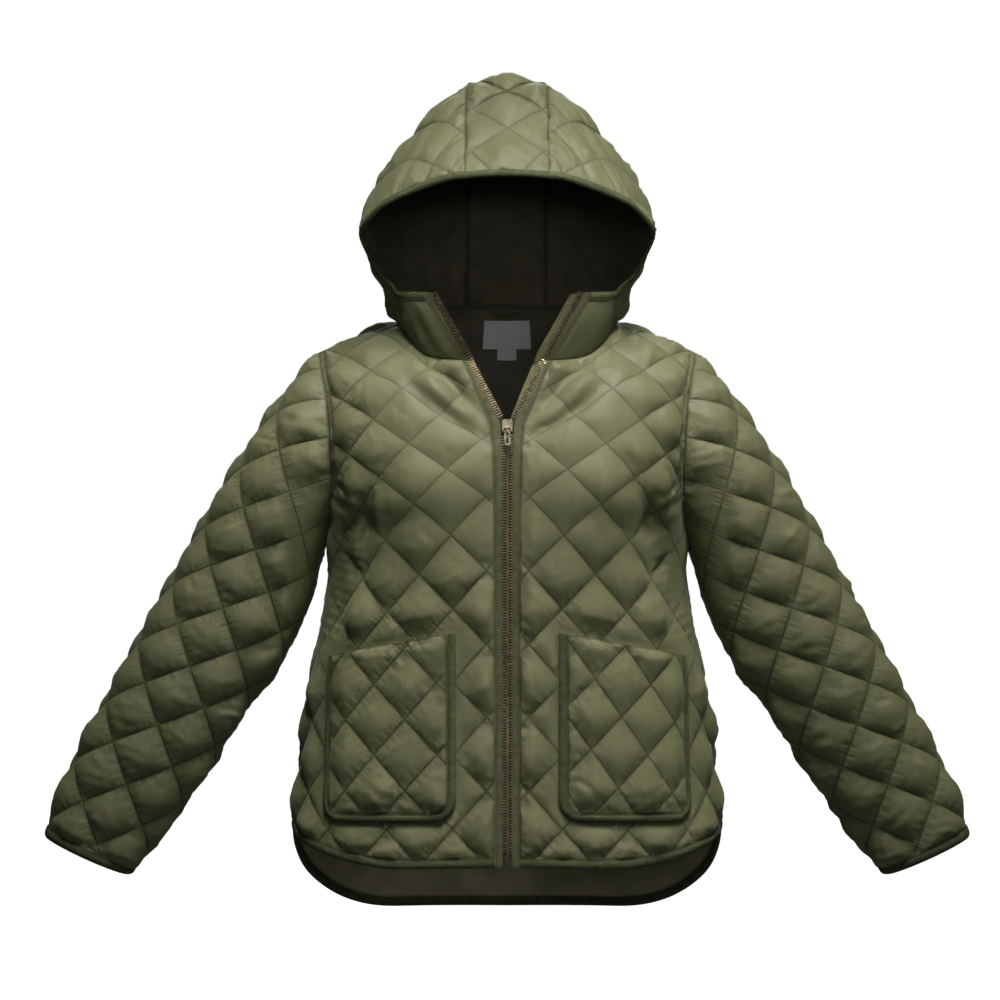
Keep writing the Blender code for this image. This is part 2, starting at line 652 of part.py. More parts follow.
class Piece:
    """A sewn piece: its cloth, its outline as edges in order, and its quilting."""

    def __init__(self, name, cloth, edges, lattice=None, flattened=None, lift=None):
        self.name, self.cloth, self.lattice, self.flattened = name, cloth, lattice, flattened
        self.lift = lift or (lambda places: np.full(len(places), -WALL))
        self.outline = np.concatenate([edge.places[:-1] for edge in edges])
        self.points = np.concatenate([edge.points[:-1] for edge in edges]) * [cloth.side, 1, 1]
        x, y = self.outline.T
        turn = (x * np.roll(y, -1) - y * np.roll(x, -1)).sum()
        if turn < 0:
            self.outline, self.points = self.outline[::-1].copy(), self.points[::-1].copy()
        self.surface, self.normals = cloth.spot(self.outline)
        keys = [seam_key(point) for point in self.points]
        for k, key in enumerate(keys):
            SEAM_NORMALS.setdefault(key, []).append(self.normals[k] * [np.sign(self.points[k, 0]) or 1, 1, 1])
            SEAM_NEXT.setdefault(key, set()).update({keys[k - 1], keys[(k + 1) % len(keys)]})

    def inset(self, distance, normals):
        """The outline moved in by a distance, in the flat cut and square to the seam in space."""
        before, after = np.roll(self.outline, 1, axis=0), np.roll(self.outline, -1, axis=0)
        d0, d1 = unit(self.outline - before), unit(after - self.outline)
        n0, n1 = np.column_stack([-d0[:, 1], d0[:, 0]]), np.column_stack([-d1[:, 1], d1[:, 0]])
        step = (n0 + n1) / np.maximum(1 + (n0 * n1).sum(1, keepdims=True), 0.5)
        moved = self.outline + step * distance
        own = self.cloth.spot(self.outline + step * 2.0)[0] - self.surface
        along = unit(np.roll(self.points, -1, axis=0) - self.points)
        square = unit(np.cross(along, unit(normals + np.roll(normals, -1, axis=0))))
        square *= np.sign((square * (own + np.roll(own, -1, axis=0))).sum(1, keepdims=True))
        last = np.roll(square, 1, axis=0)
        shift = (last + square) / np.maximum(1 + (last * square).sum(1, keepdims=True), 0.5)
        return moved, self.points + shift * distance

    def seam_normals(self):
        found = [SEAM_NORMALS[seam_key(p)] * [np.sign(p[0]) or 1, 1, 1] for p in self.points]
        return np.array(found)

    def pull(self, places):
        """The small shift that brings the surface near an edge onto the seam that it shares."""
        gap = np.linalg.norm(places[:, None] - self.outline[None], axis=2)
        nearest = gap.argmin(1)
        fade = np.clip(1 - gap.min(1) / 45.0, 0, 1)[:, None] ** 2
        return (self.points - self.surface)[nearest] * fade

    def build(self, material_name="quilted_shell", wall=WALL):
        seam_normals = self.seam_normals()
        outline, seam = self.inset(SEAM_GAP / 2, seam_normals)
        lines, bumps = [], np.zeros((0, 2))
        added = {k: [] for k in range(len(outline))}
        kept = []
        if self.lattice:
            threes, bumps = stitch_lines(self.lattice, outline)
            flat_ends = threes.reshape(-1, 2)
            good = inside(outline, flat_ends)
            good[good] = from_outline(outline, flat_ends[good]) > CLEAR
            good = good.reshape(-1, 3)
            on = np.zeros((len(flat_ends), 3))
            on[good.ravel()] = self.cloth.spot(flat_ends[good.ravel()])[0]
            on = on.reshape(-1, 3, 3)
            sag = np.linalg.norm(on[:, 1] - (on[:, 0] + on[:, 2]) / 2, axis=1)
            for (p, m, q), (p_in, m_in, q_in), bend in zip(threes, good, sag):
                if p_in and m_in and q_in and bend < MOST_SAG:
                    kept.append((tuple(np.round(p, 4)), tuple(np.round(q, 4))))
                    continue
                for first, last, first_in, last_in in ((p, m, p_in, m_in), (m, q, m_in, q_in)):
                    if first_in and last_in:
                        kept.append((tuple(np.round(first, 4)), tuple(np.round(last, 4))))
                    elif first_in or last_in:
                        near, far = (first, last) if first_in else (last, first)
                        cut = crossing(outline, near, far)
                        if cut:
                            added[cut[0]].append((cut[1], tuple(np.round(near, 4))))
            keep = inside(outline, bumps)
            keep[keep] = from_outline(outline, bumps[keep]) > CLEAR + 2
            bumps = bumps[keep]
        places, points, normals, index = [], [], [], {}
        for k in range(len(outline)):
            after = (k + 1) % len(outline)
            length = np.linalg.norm(outline[after] - outline[k])
            start = len(places)
            places.append(outline[k])
            points.append(seam[k])
            normals.append(seam_normals[k])
            placed = []
            for share, near in sorted(added[k]):
                if share * length < CLEAR:
                    lines.append((near, start))
                elif (1 - share) * length < CLEAR:
                    lines.append((near, None if after == 0 else -k - 1))
                elif placed and (share - placed[-1][0]) * length < CLEAR:
                    lines.append((near, placed[-1][1]))
                else:
                    placed.append((share, len(places)))
                    lines.append((near, len(places)))
                    places.append(outline[k] * (1 - share) + outline[after] * share)
                    points.append(seam[k] * (1 - share) + seam[after] * share)
                    normals.append(seam_normals[k] * (1 - share) + seam_normals[after] * share)
            index[k] = start
        count = len(places)
        resolved = []
        for near, end in lines:
            if end is None:
                end = 0
            elif end < 0:
                end = index[-end]
            resolved.append((near, end))
        inner_places = sorted({p for pair in kept for p in pair} | {near for near, _ in resolved})
        number = {p: count + k for k, p in enumerate(inner_places)}
        edges = [(number[p], number[q]) for p, q in kept] + [(number[p], end) for p, end in resolved]
        middle = np.array(inner_places, float).reshape(-1, 2)
        if self.lattice is None:
            middle = np.zeros((0, 2))
        free = np.vstack([middle, bumps])
        if self.lattice is None:
            free = self.grid_places(outline)
        outer_places = np.vstack([np.array(places), free])
        outer_faces = triangulated(count, outer_places, edges)
        on, out = self.cloth.spot(free)
        on = on + self.pull(free)
        height = np.zeros(len(free))
        if self.lattice:
            height = PUFF * puff(self.lattice, free)
            height *= np.clip(from_outline(outline, free) / 24.0, 0, 1)
            if self.flattened:
                height *= self.flattened(free, on)
        rim, rim_out = np.array(points), np.array(normals)
        rim_lift = self.lift(np.array(places))[:, None]
        outer = np.vstack([rim + rim_out * (rim_lift + wall), on + out * (height + self.lift(free) + wall)[:, None]])
        plain = self.grid_places(outline)
        on, out = self.cloth.spot(plain)
        on = on + self.pull(plain)
        lining_faces = triangulated(count, np.vstack([np.array(places), plain]), [])
        lining = np.vstack([rim + rim_out * rim_lift, on + out * self.lift(plain)[:, None]])
        faces = list(outer_faces)
        faces += [tuple(reversed([i + len(outer) for i in face])) for face in lining_faces]
        for k in range(count):
            j, low = (k + 1) % count, len(outer)
            if (rim[k, 2], rim[k, 1]) > (rim[j, 2], rim[j, 1]):  # neighbours split their rims alike
                faces += [(j, k, k + low), (j, k + low, j + low)]
            else:
                faces += [(j, k, j + low), (k, k + low, j + low)]
        return add_object(self.name, np.vstack([outer, lining]), faces, material_name)

    def grid_places(self, outline):
        low, high = outline.min(0), outline.max(0)
        u, v = np.arange(low[0], high[0], INSIDE_STEP), np.arange(low[1], high[1], INSIDE_STEP * 0.87)
        grid = np.array([(a + (k % 2) * INSIDE_STEP / 2, b) for k, b in enumerate(v) for a in u])
        keep = inside(outline, grid)
        keep[keep] = from_outline(outline, grid[keep]) > INSIDE_STEP * 0.4
        return grid[keep]


# ---- bindings, tapes and other strips --------------------------------------------------------------
def add_strip(name, rings, cloth, closed=False, smooth=True):
    """A solid through rings of points, each with the same count; its ends are flat unless closed."""
    rings = np.array(rings, float)
    count, around = rings.shape[:2]
    faces = []
    for i in range(count if closed else count - 1):
        for k in range(around):
            a, b = i * around + k, i * around + (k + 1) % around
            j = (i + 1) % count - i
            faces.append((a, b, b + j * around, a + j * around))
    if not closed:
        last = (count - 1) * around
        faces += [tuple(reversed(range(around))), tuple(range(last, last + around))]
    return add_object(name, rings.reshape(-1, 3), faces, cloth, smooth)


Run = namedtuple("Run", "points normals")  # lines of points across a strip, in order, each (n, 3)


def run_of(cloth, inner, outer, lines=3):
    """The lines of a strip between two lines of places; the inner one keeps clear of the seam."""
    way, along = unit(outer - inner), unit(np.gradient(inner, axis=0))
    square = np.abs(way[:, :1] * along[:, 1:] - way[:, 1:] * along[:, :1])
    inner = inner + way * BOUND_GAP / np.maximum(square, 0.35)
    found = [cloth.spot(inner * (1 - f) + outer * f) for f in np.linspace(0, 1, lines)]
    points, normals = np.array([p for p, _ in found]), np.array([n for _, n in found])
    normals[0] = beside_seam(points[0], normals[0])
    return Run(points, normals)


def beside_seam(points, normals):
    """The ways out of the cloth's edge at points just beyond it."""
    keys = np.array(list(SEAM_NORMALS))
    ways = np.array(list(SEAM_NORMALS.values()))
    gap = np.linalg.norm(points[:, None] - keys[None], axis=2)
    return np.where(gap.min(1)[:, None] < 2.5, ways[gap.argmin(1)], normals)


def joined_runs(runs):
    """Runs end to end; where two meet, the point is the mean of both."""
    points, normals = runs[0]
    for more in runs[1:]:
        meet = (points[:, -1:] + more.points[:, :1]) / 2
        out = unit(normals[:, -1:] + more.normals[:, :1])
        points = np.concatenate([points[:, :-1], meet, more.points[:, 1:]], axis=1)
        normals = np.concatenate([normals[:, :-1], out, more.normals[:, 1:]], axis=1)
    return Run(points, normals)


def flipped(run):
    return Run(run.points[:, ::-1], run.normals[:, ::-1])


def across_middle(run):
    """A run that ends at x = 0, followed by its mirror image."""
    turn = np.array([-1, 1, 1])
    other = flipped(Run(run.points * turn, run.normals * turn))
    return joined_runs([run, other])


def rings_of(run, tops, lows):
    """One ring per point of a run: each line at its top height, then back at its low height."""
    upper = [p + n * h for p, n, h in zip(run.points, run.normals, tops)]
    lower = [p + n * h for p, n, h in zip(run.points, run.normals, lows)]
    return np.stack(upper + lower[::-1], axis=1)


BOUND_TOPS = (0.6, 1.0, -0.5)  # a binding stands a little over the cloth and rounds its edge
BOUND_LOWS = (-WALL - 0.6, -WALL - 1.0, 0.5 - WALL)
POCKET_BOUND_TOPS = (POCKET_EDGE_LIFT + WALL + 0.5, POCKET_EDGE_LIFT + WALL + 0.5, POCKET_EDGE_LIFT + WALL - 0.8)
POCKET_BOUND_LOWS = (POCKET_EDGE_LIFT, POCKET_EDGE_LIFT, POCKET_EDGE_LIFT)


def sided(run, side):
    turn = np.array([side, 1, 1])
    return Run(run.points * turn, run.normals * turn)


def build_bindings(jacket):
    j = jacket
    inner, outer = (line.copy() for line in j.front_hem)
    inner[-1, 0] -= SEAM_GAP
    outer[-1, 0] -= SEAM_GAP
    inner[0, 0] += SEAM_GAP
    outer[0, 0] += SEAM_GAP
    front = run_of(Cloth(j.front), inner, outer)
    inner, outer = (line.copy() for line in j.back_hem)
    inner[-1, 0] -= SEAM_GAP
    outer[-1, 0] -= SEAM_GAP
    back = across_middle(flipped(run_of(Cloth(j.back), inner, outer)))
    add_strip("hem_binding_back", rings_of(back, BOUND_TOPS, BOUND_LOWS), "binding_cloth")
    cuff = cuff_run(j)
    for side, word in ((1, "left"), (-1, "right")):
        add_strip("hem_binding_front_" + word, rings_of(sided(front, side), BOUND_TOPS, BOUND_LOWS), "binding_cloth")
        add_strip("cuff_binding_" + word, rings_of(sided(cuff, side), BOUND_TOPS, BOUND_LOWS), "binding_cloth", True)
        pocket = sided(run_of(Cloth(j.front), pocket_path(j, BINDING + SEAM_GAP), pocket_path(j, 0)), side)
        rings = rings_of(pocket, POCKET_BOUND_TOPS, POCKET_BOUND_LOWS)
        add_strip("pocket_binding_" + word, rings, "binding_cloth")
    hood = across_middle(hood_run(j))
    add_strip("hood_binding", rings_of(hood, BOUND_TOPS, BOUND_LOWS), "binding_cloth")


def cuff_run(jacket):
    """The binding's lines about a cuff, over the sleeve's front half and back over its other half."""
    j = jacket
    start = j.t_cuff + (1 - j.t_cuff) * SEAM_GAP / BINDING
    lines, ways = [], []
    for t in np.linspace(start, 1, 3):
        points, normals = [], []
        for patch, turn in ((j.sleeve_front, 1), (j.sleeve_back, -1)):
            share = np.linspace(0, 1, 200)
            along = lengths_along(patch.at(share, np.full(200, t)))
            s = np.interp(np.linspace(0, along[-1], CUFF_STEPS + 1)[:-1], along, share)
            if turn == -1:
                s = np.interp(np.linspace(along[-1], 0, CUFF_STEPS + 1)[:-1], along, share)
            p, n = patch.spot(s, np.full(CUFF_STEPS, t))
            points.append(p)
            normals.append(n)
        lines.append(np.vstack(points))
        ways.append(np.vstack(normals))
    return Run(np.array(lines), np.array(ways))


def hood_run(jacket):
    """The binding's lines from the collar's zip edge, by the face, to the middle of the hood."""
    j = jacket
    collar = flipped(run_of(Cloth(j.collar), *j.collar_pairs))
    face = run_of(Cloth(j.hood), *j.face_pairs)
    s = np.linspace(1, 0, 3)
    start = j.strip.cut(s, np.full(3, j.strip_start))
    strip = run_of(Cloth(j.strip), start, j.strip.cut(s, np.zeros(3)))
    return joined_runs([collar, face, strip])


# ---- pockets ---------------------------------------------------------------------------------------
def pocket_path(jacket, inset):
    """The bound edge of a pocket in the front's cut: down its inner side, round, and up the other."""
    top, bottom = (jacket.v_at_height(jacket.front, z) for z in (POCKET_TOP, POCKET_BOTTOM))
    left, right = POCKET_INNER + inset, POCKET_INNER + POCKET_WIDE - inset
    turn = bottom - POCKET_CORNER

    def top_at(u):
        return top + (u - POCKET_INNER) / POCKET_WIDE * POCKET_DROP

    def arc(centre, first, last):
        angle = np.radians(np.linspace(first, last, 5))
        radius = POCKET_CORNER - inset
        return np.column_stack([centre + radius * np.cos(angle), turn + radius * np.sin(angle)])

    inner_side = np.column_stack([np.full(8, left), np.linspace(top_at(left), turn, 8)])[:-1]
    outer_side = np.column_stack([np.full(8, right), np.linspace(turn, top_at(right), 8)])[1:]
    corners = [arc(POCKET_INNER + POCKET_CORNER, 180, 90), arc(POCKET_INNER + POCKET_WIDE - POCKET_CORNER, 90, 0)]
    between = np.linspace(corners[0][-1], corners[1][0], 5)[1:-1]
    return np.vstack([inner_side, corners[0], between, corners[1], outer_side])


def pocket_lift(jacket):
    sewn = pocket_path(jacket, BINDING)

    def lift(places):
        gap = np.full(len(places), 1e9)
        for a, b in zip(sewn[:-1], sewn[1:]):
            f = np.clip(((places - a) @ (b - a)) / ((b - a) @ (b - a)), 0, 1)
            gap = np.minimum(gap, np.linalg.norm(places - a - f[:, None] * (b - a), axis=1))
        return POCKET_EDGE_LIFT + (POCKET_LIFT - POCKET_EDGE_LIFT) * np.clip(gap / 24.0, 0, 1)

    return lift


def under_pocket(jacket):
    """The share of the front's quilting height that is left under a pocket and beside its edge."""
    outline = pocket_path(jacket, 0)

    def share(places, points):
        gap = from_outline(outline, places)
        held = np.where(inside(outline, places), PUFF_UNDER_POCKET, 1.0)
        return held * np.clip((gap - 11.0) / 12.0, 0, 1) * under_arm(places, points)

    return share


def pocket_pieces(jacket):
    j = jacket
    edge = pocket_path(j, BINDING + SEAM_GAP)
    top = np.linspace(edge[-1], edge[0], 7)
    lattice = Lattice(*POCKET_DIAMOND, POCKET_CROSSING[0], j.v_at_height(j.front, POCKET_CROSSING[1]))
    lift, pieces = pocket_lift(j), []
    for side, word in ((1, "left"), (-1, "right")):
        edges = [j.free(j.front, edge), j.free(j.front, top)]
        pieces.append(Piece("pocket_" + word, Cloth(j.front, side=side), edges, lattice, lift=lift))
    return pieces


# ---- zip -------------------------------------------------------------------------------------------
def zip_run(jacket, from_u, to_u, top_height, low_height):
    """Lines of points down the zip between two distances from its line, on the +X side. With no
    top height they start at the collar's top edge."""
    j = jacket
    v_low = j.v_at_height(j.front, low_height)
    if top_height is not None:
        v_top = j.v_at_height(j.front, top_height)
        return run_of_lines(Cloth(j.front), [down_line(u, v_top, v_low) for u in (from_u, to_u)])
    share = np.linspace(0, 1, 200)
    neck_front = j.front.cut(np.zeros(200), share * j.t_collar)[::-1]
    neck, top = (j.collar.cut(share, np.full(200, t)) for t in (0.0, 1.0))
    low_run, high_run = [], []
    for u in (from_u, to_u):
        ends = u - PINCH * (u > CHAIN_HALF + 1)
        v = np.concatenate([j.zip_v[j.zip_v < v_low - 2.0], [v_low]])
        v[0] = np.interp(ends, *neck_front.T)
        low_run.append(np.column_stack([np.full(len(v), u), v]))
        low_run[-1][:3, 0] -= (u - ends) * np.array([1.0, 0.8, 0.4])
        bottom = np.array([ends * j.neck_u / TAPE_REACH, 0])
        bottom[1] = np.interp(bottom[0], *neck.T)
        high_run.append(np.linspace([ends, np.interp(ends, *top.T)], bottom, 4))
    return joined_runs([run_of_lines(Cloth(j.collar), high_run), run_of_lines(Cloth(j.front), low_run)])


def down_line(u, v_from, v_to, steps=None):
    v = np.linspace(v_from, v_to, (steps or max(1, round((v_to - v_from) / SAMPLE))) + 1)
    return np.column_stack([np.full(len(v), u), v])


def run_of_lines(cloth, lines):
    found = [cloth.spot(line) for line in lines]
    return Run(np.array([p for p, _ in found]), np.array([n for _, n in found]))


def build_zip(jacket):
    j = jacket
    middle = -WALL / 2
    tape = zip_run(j, CHAIN_HALF + SEAM_GAP, TAPE_REACH - SEAM_GAP, None, HEM_FRONT + 1.0)
    open_chain = zip_run(j, 0.2, CHAIN_HALF - SEAM_GAP, None, SLIDER_TOP + SEAM_GAP)
    half = zip_run(j, 0.0, CHAIN_HALF, SLIDER_BOTTOM - SEAM_GAP, STOP_TOP + SEAM_GAP)
    closed = Run(
        np.array([half.points[1] * [-1, 1, 1], half.points[1]]), np.array([half.normals[1] * [-1, 1, 1], half.normals[1]]))
    tape_heights = (middle + TAPE_THICK / 2,) * 2, (middle - TAPE_THICK / 2,) * 2
    chain_heights = (middle + CHAIN_THICK / 2,) * 2, (middle - CHAIN_THICK / 2,) * 2
    for side, word in ((1, "left"), (-1, "right")):
        add_strip("zip_tape_" + word, rings_of(sided(tape, side), *tape_heights), "zip_tape_cloth")
        add_strip("zip_teeth_open_" + word, rings_of(sided(open_chain, side), *chain_heights), "antique_brass")
    add_strip("zip_teeth_closed", rings_of(closed, *chain_heights), "antique_brass")
    facing = facing_run(j, zip_run(j, 0.2, TAPE_REACH - 1.5, None, SLIDER_TOP + SEAM_GAP))
    add_strip("zip_facing_left", rings_of(facing, (-WALL - 0.8,) * 2, (-WALL - 1.8,) * 2), "quilted_shell")
    build_slider(j)


def facing_run(jacket, run):
    """The facing behind the left half of the open zip, which shows beyond the teeth."""
    edge, back = run.points
    share = np.clip((edge[:, 2] - SLIDER_TOP) / 60.0, 0, 1)[:, None]
    away = unit(edge - back)
    shown = edge + away * FACING_SHOWS * share
    return Run(np.array([shown, back]), np.array([run.normals[0], run.normals[1]]))


def zip_frame(jacket, height):
    """A point of the zip's line, the way down along it and the way out of the cloth."""
    j = jacket
    v = j.v_at_height(j.front, height)
    points, normals = Cloth(j.front).spot(np.array([[0.0, v - 4], [0.0, v], [0.0, v + 4]]))
    down = unit((points[2] - points[0]) * [0, 1, 1])
    out = np.array([0, down[2], -down[1]])
    out *= np.sign(out @ normals[1])
    return points[1] * [0, 1, 1], down, out


def prism(name, outline, origin, axes, low, high, cloth, hidden=False):
    """A solid with an outline in the first two axes, between two heights on the third."""
    flat = np.array(outline, float)
    base = origin + flat[:, :1] * axes[0] + flat[:, 1:] * axes[1]
    count = len(flat)
    faces = [tuple(range(count)), tuple(range(2 * count - 1, count - 1, -1))]
    faces += [(k, k + count, (k + 1) % count + count, (k + 1) % count) for k in range(count)]
    made = add_object(name, np.vstack([base + axes[2] * low, base + axes[2] * high]), faces, cloth)
    made.hide_render = made.hide_viewport = hidden
    return made


def circle(radius, x=0.0, y=0.0):
    angle = np.arange(ROUND_SIDES) * 2 * math.pi / ROUND_SIDES
    return np.column_stack([x + radius * np.cos(angle), y + radius * np.sin(angle)])


def rounded_box(x0, x1, y0, y1, radius):
    """The outline of a rectangle with its corners rounded."""
    angle = np.radians(np.linspace(0, 90, 4))
    arc = radius * np.column_stack([np.cos(angle), np.sin(angle)])
    corners = [(x1 - radius, y1 - radius), (x0 + radius, y1 - radius), (x0 + radius, y0 + radius), (x1 - radius, y0 + radius)]
    outline = []
    for quarter, corner in enumerate(corners):
        cos, sin = round(math.cos(quarter * math.pi / 2)), round(math.sin(quarter * math.pi / 2))
        outline.append(arc @ np.array([[cos, sin], [-sin, cos]]) + corner)
    return np.vstack(outline)


def combine(base, other, operation):
    modifier = base.modifiers.new(other.name, "BOOLEAN")
    modifier.operation, modifier.object, modifier.solver = operation, other, "EXACT"


def build_slider(jacket):
    """The slider with two lugs and a pin, and the pull that hangs from the pin."""
    x = np.array([1.0, 0, 0])
    top, down, out = zip_frame(jacket, SLIDER_TOP)
    bottom = zip_frame(jacket, SLIDER_BOTTOM)[0]
    length = float(np.linalg.norm(bottom - top))
    axes, middle = (x, down, out), -WALL / 2
    upper, lower = middle + CHAIN_THICK / 2 + 0.5, middle - CHAIN_THICK / 2 - 0.5
    plate = rounded_box(-SLIDER_PLATE, SLIDER_PLATE, 0.5, length - 0.5, 3.0)
    body = prism("zip_slider", plate, top, axes, upper, upper + 1.5, "antique_brass")
    core = rounded_box(-SLIDER_CORE, SLIDER_CORE, 1.0, length - 1.0, 1.0)
    parts = [
        prism("slider_back", plate, top, axes, lower - 1.3, lower, "antique_brass", True),
        prism("slider_core", core, top, axes, lower - 0.4, upper + 0.4, "antique_brass", True),
    ]
    pin_down, pin_out = length * 0.72, upper + 1.5 + PIN_HEIGHT - 1.2
    side_axes = (down, out, x)
    lug = rounded_box(pin_down - 1.5, pin_down + 1.5, upper + 0.6, pin_out + 1.3, 1.2)
    for k, start in enumerate((-3.5, 2.3)):
        parts.append(prism(f"slider_lug_{k}", lug, top, side_axes, start, start + 1.2, "antique_brass", True))
    pin = circle(PIN_RADIUS, pin_down, pin_out)
    parts.append(prism("slider_pin", pin, top, side_axes, -2.6, 2.6, "antique_brass", True))
    for other in parts:
        combine(body, other, "UNION")
    stop, stop_down, stop_out = zip_frame(jacket, STOP_TOP)
    end = float(np.linalg.norm(zip_frame(jacket, HEM_FRONT + 1.0)[0] - stop))
    box = rounded_box(-STOP_HALF, STOP_HALF, 0, end, 0.8)
    prism("zip_stop", box, stop, (x, stop_down, stop_out), middle - 1.8, middle + 1.8, "antique_brass")
    build_pull(top + down * pin_down + out * pin_out, down, out)


def build_pull(pin, down, y):
    """The pull, lying on the zip: an eye about the pin, and a plate with a hole and a slot."""
    x = np.array([1.0, 0, 0])
    eye = prism("zip_pull", circle(EYE_RADIUS), pin, (down, y, x), -1.9, 1.9, "antique_brass")
    half, low = PULL_WIDE / 2, PULL_LONG
    neck = [(1.8, EYE_HOLE + 0.35), (1.8, 3.0), (half, 4.6), (half, low - 2), (half - 2, low)]
    neck += [(-across, along) for across, along in reversed(neck)]
    plate = prism("pull_plate", neck, pin, (x, down, y), -PULL_THICK / 2, PULL_THICK / 2, "antique_brass", True)
    combine(eye, plate, "UNION")
    hole = prism("pull_hole", circle(EYE_HOLE), pin, (down, y, x), -3, 3, "antique_brass", True)
    ring = prism("pull_round", circle(1.6, 0, 7.2), pin, (x, down, y), -3, 3, "antique_brass", True)
    slot = prism("pull_slot", rounded_box(-1.2, 1.2, 11.5, 18.0, 0.6), pin, (x, down, y), -3, 3, "antique_brass", True)
    for cutter in (hole, ring, slot):
        combine(eye, cutter, "DIFFERENCE")


# ---- inside the back neck --------------------------------------------------------------------------
def build_neck(jacket):
    """The label and the size tab lie inside the back, the loop hangs from the neck seam."""
    j = jacket
    cloth = Cloth(j.back, j.back)
    drop = LABEL_DROP
    for name, wide, tall, columns in (("neck_label", LABEL_WIDE, LABEL_TALL, 5), ("size_tab", TAG_WIDE, TAG_TALL, 3)):
        u = np.linspace(-wide / 2, wide / 2, columns)
        lines = [np.column_stack([u, np.full(columns, v)]) for v in np.linspace(drop, drop + tall, 4)]
        run = run_of_lines(cloth, lines)
        heights = np.full(4, -WALL - LABEL_OFF)
        add_strip(name, rings_of(run, heights, heights - LABEL_THICK), "woven_label")
        drop += tall + SEAM_GAP
    u = np.linspace(-LOOP_WIDE / 2, LOOP_WIDE / 2, 9)
    sag = LOOP_SAG * (1 - (2 * u / LOOP_WIDE) ** 2)
    run = run_of_lines(cloth, [np.column_stack([u, 1.5 + sag + w]) for w in (0.0, LOOP_BAND)])
    heights = np.full(2, -WALL - LOOP_OFF)
    add_strip("hanger_loop", rings_of(run, heights, heights - LOOP_THICK), "lining")


def under_arm(places, points):
    """The share of the quilting's height that is left where a sleeve lies against the side."""
    centre, reach = np.array([212.0, 0.0, -275.0]), np.array([30.0, 85.0, 95.0])
    off = np.abs(points * [np.sign(points[0, 0]) or 1, 1, 1] - centre) / reach
    if points[:, 0].min() < 0 < points[:, 0].max():
        off = np.abs(np.abs(points) * [1, 1, 0] + points * [0, 0, 1] - centre) / reach
    gap = off.max(axis=1)
    return PUFF_UNDER_ARM + (1 - PUFF_UNDER_ARM) * np.clip((gap - 1) * 2.5, 0, 1)


# ---- the pieces ----------------------------------------------------------------------------------
def mirrored(edge):
    return Edge(edge.places[::-1] * [-1, 1], edge.points[::-1] * [-1, 1, 1])


def mirrored_places(edge):
    """An edge of a sleeve's back half, whose places are counted the other way."""
    return Edge(edge.places[::-1] * [-1, 1], edge.points[::-1])


def reverse(edge):
    return Edge(edge.places[::-1], edge.points[::-1])


def steps_for(length):
    return max(1, round(length / SAMPLE))


def share_nearest(patch, s, t_from, t_to, target):
    """The t between two others where a line of constant s passes nearest to a point."""
    t = np.linspace(t_from, t_to, 400)
    gap = np.linalg.norm(patch.at(np.full(400, float(s)), t) - np.array(target, float), axis=1)
    return float(t[gap.argmin()])


def rise(u, flat, reach, power):
    """The share of a hem's rise at a distance from the centre, along the cloth."""
    return np.clip((u - flat) / (reach - flat), 0, 1) ** power


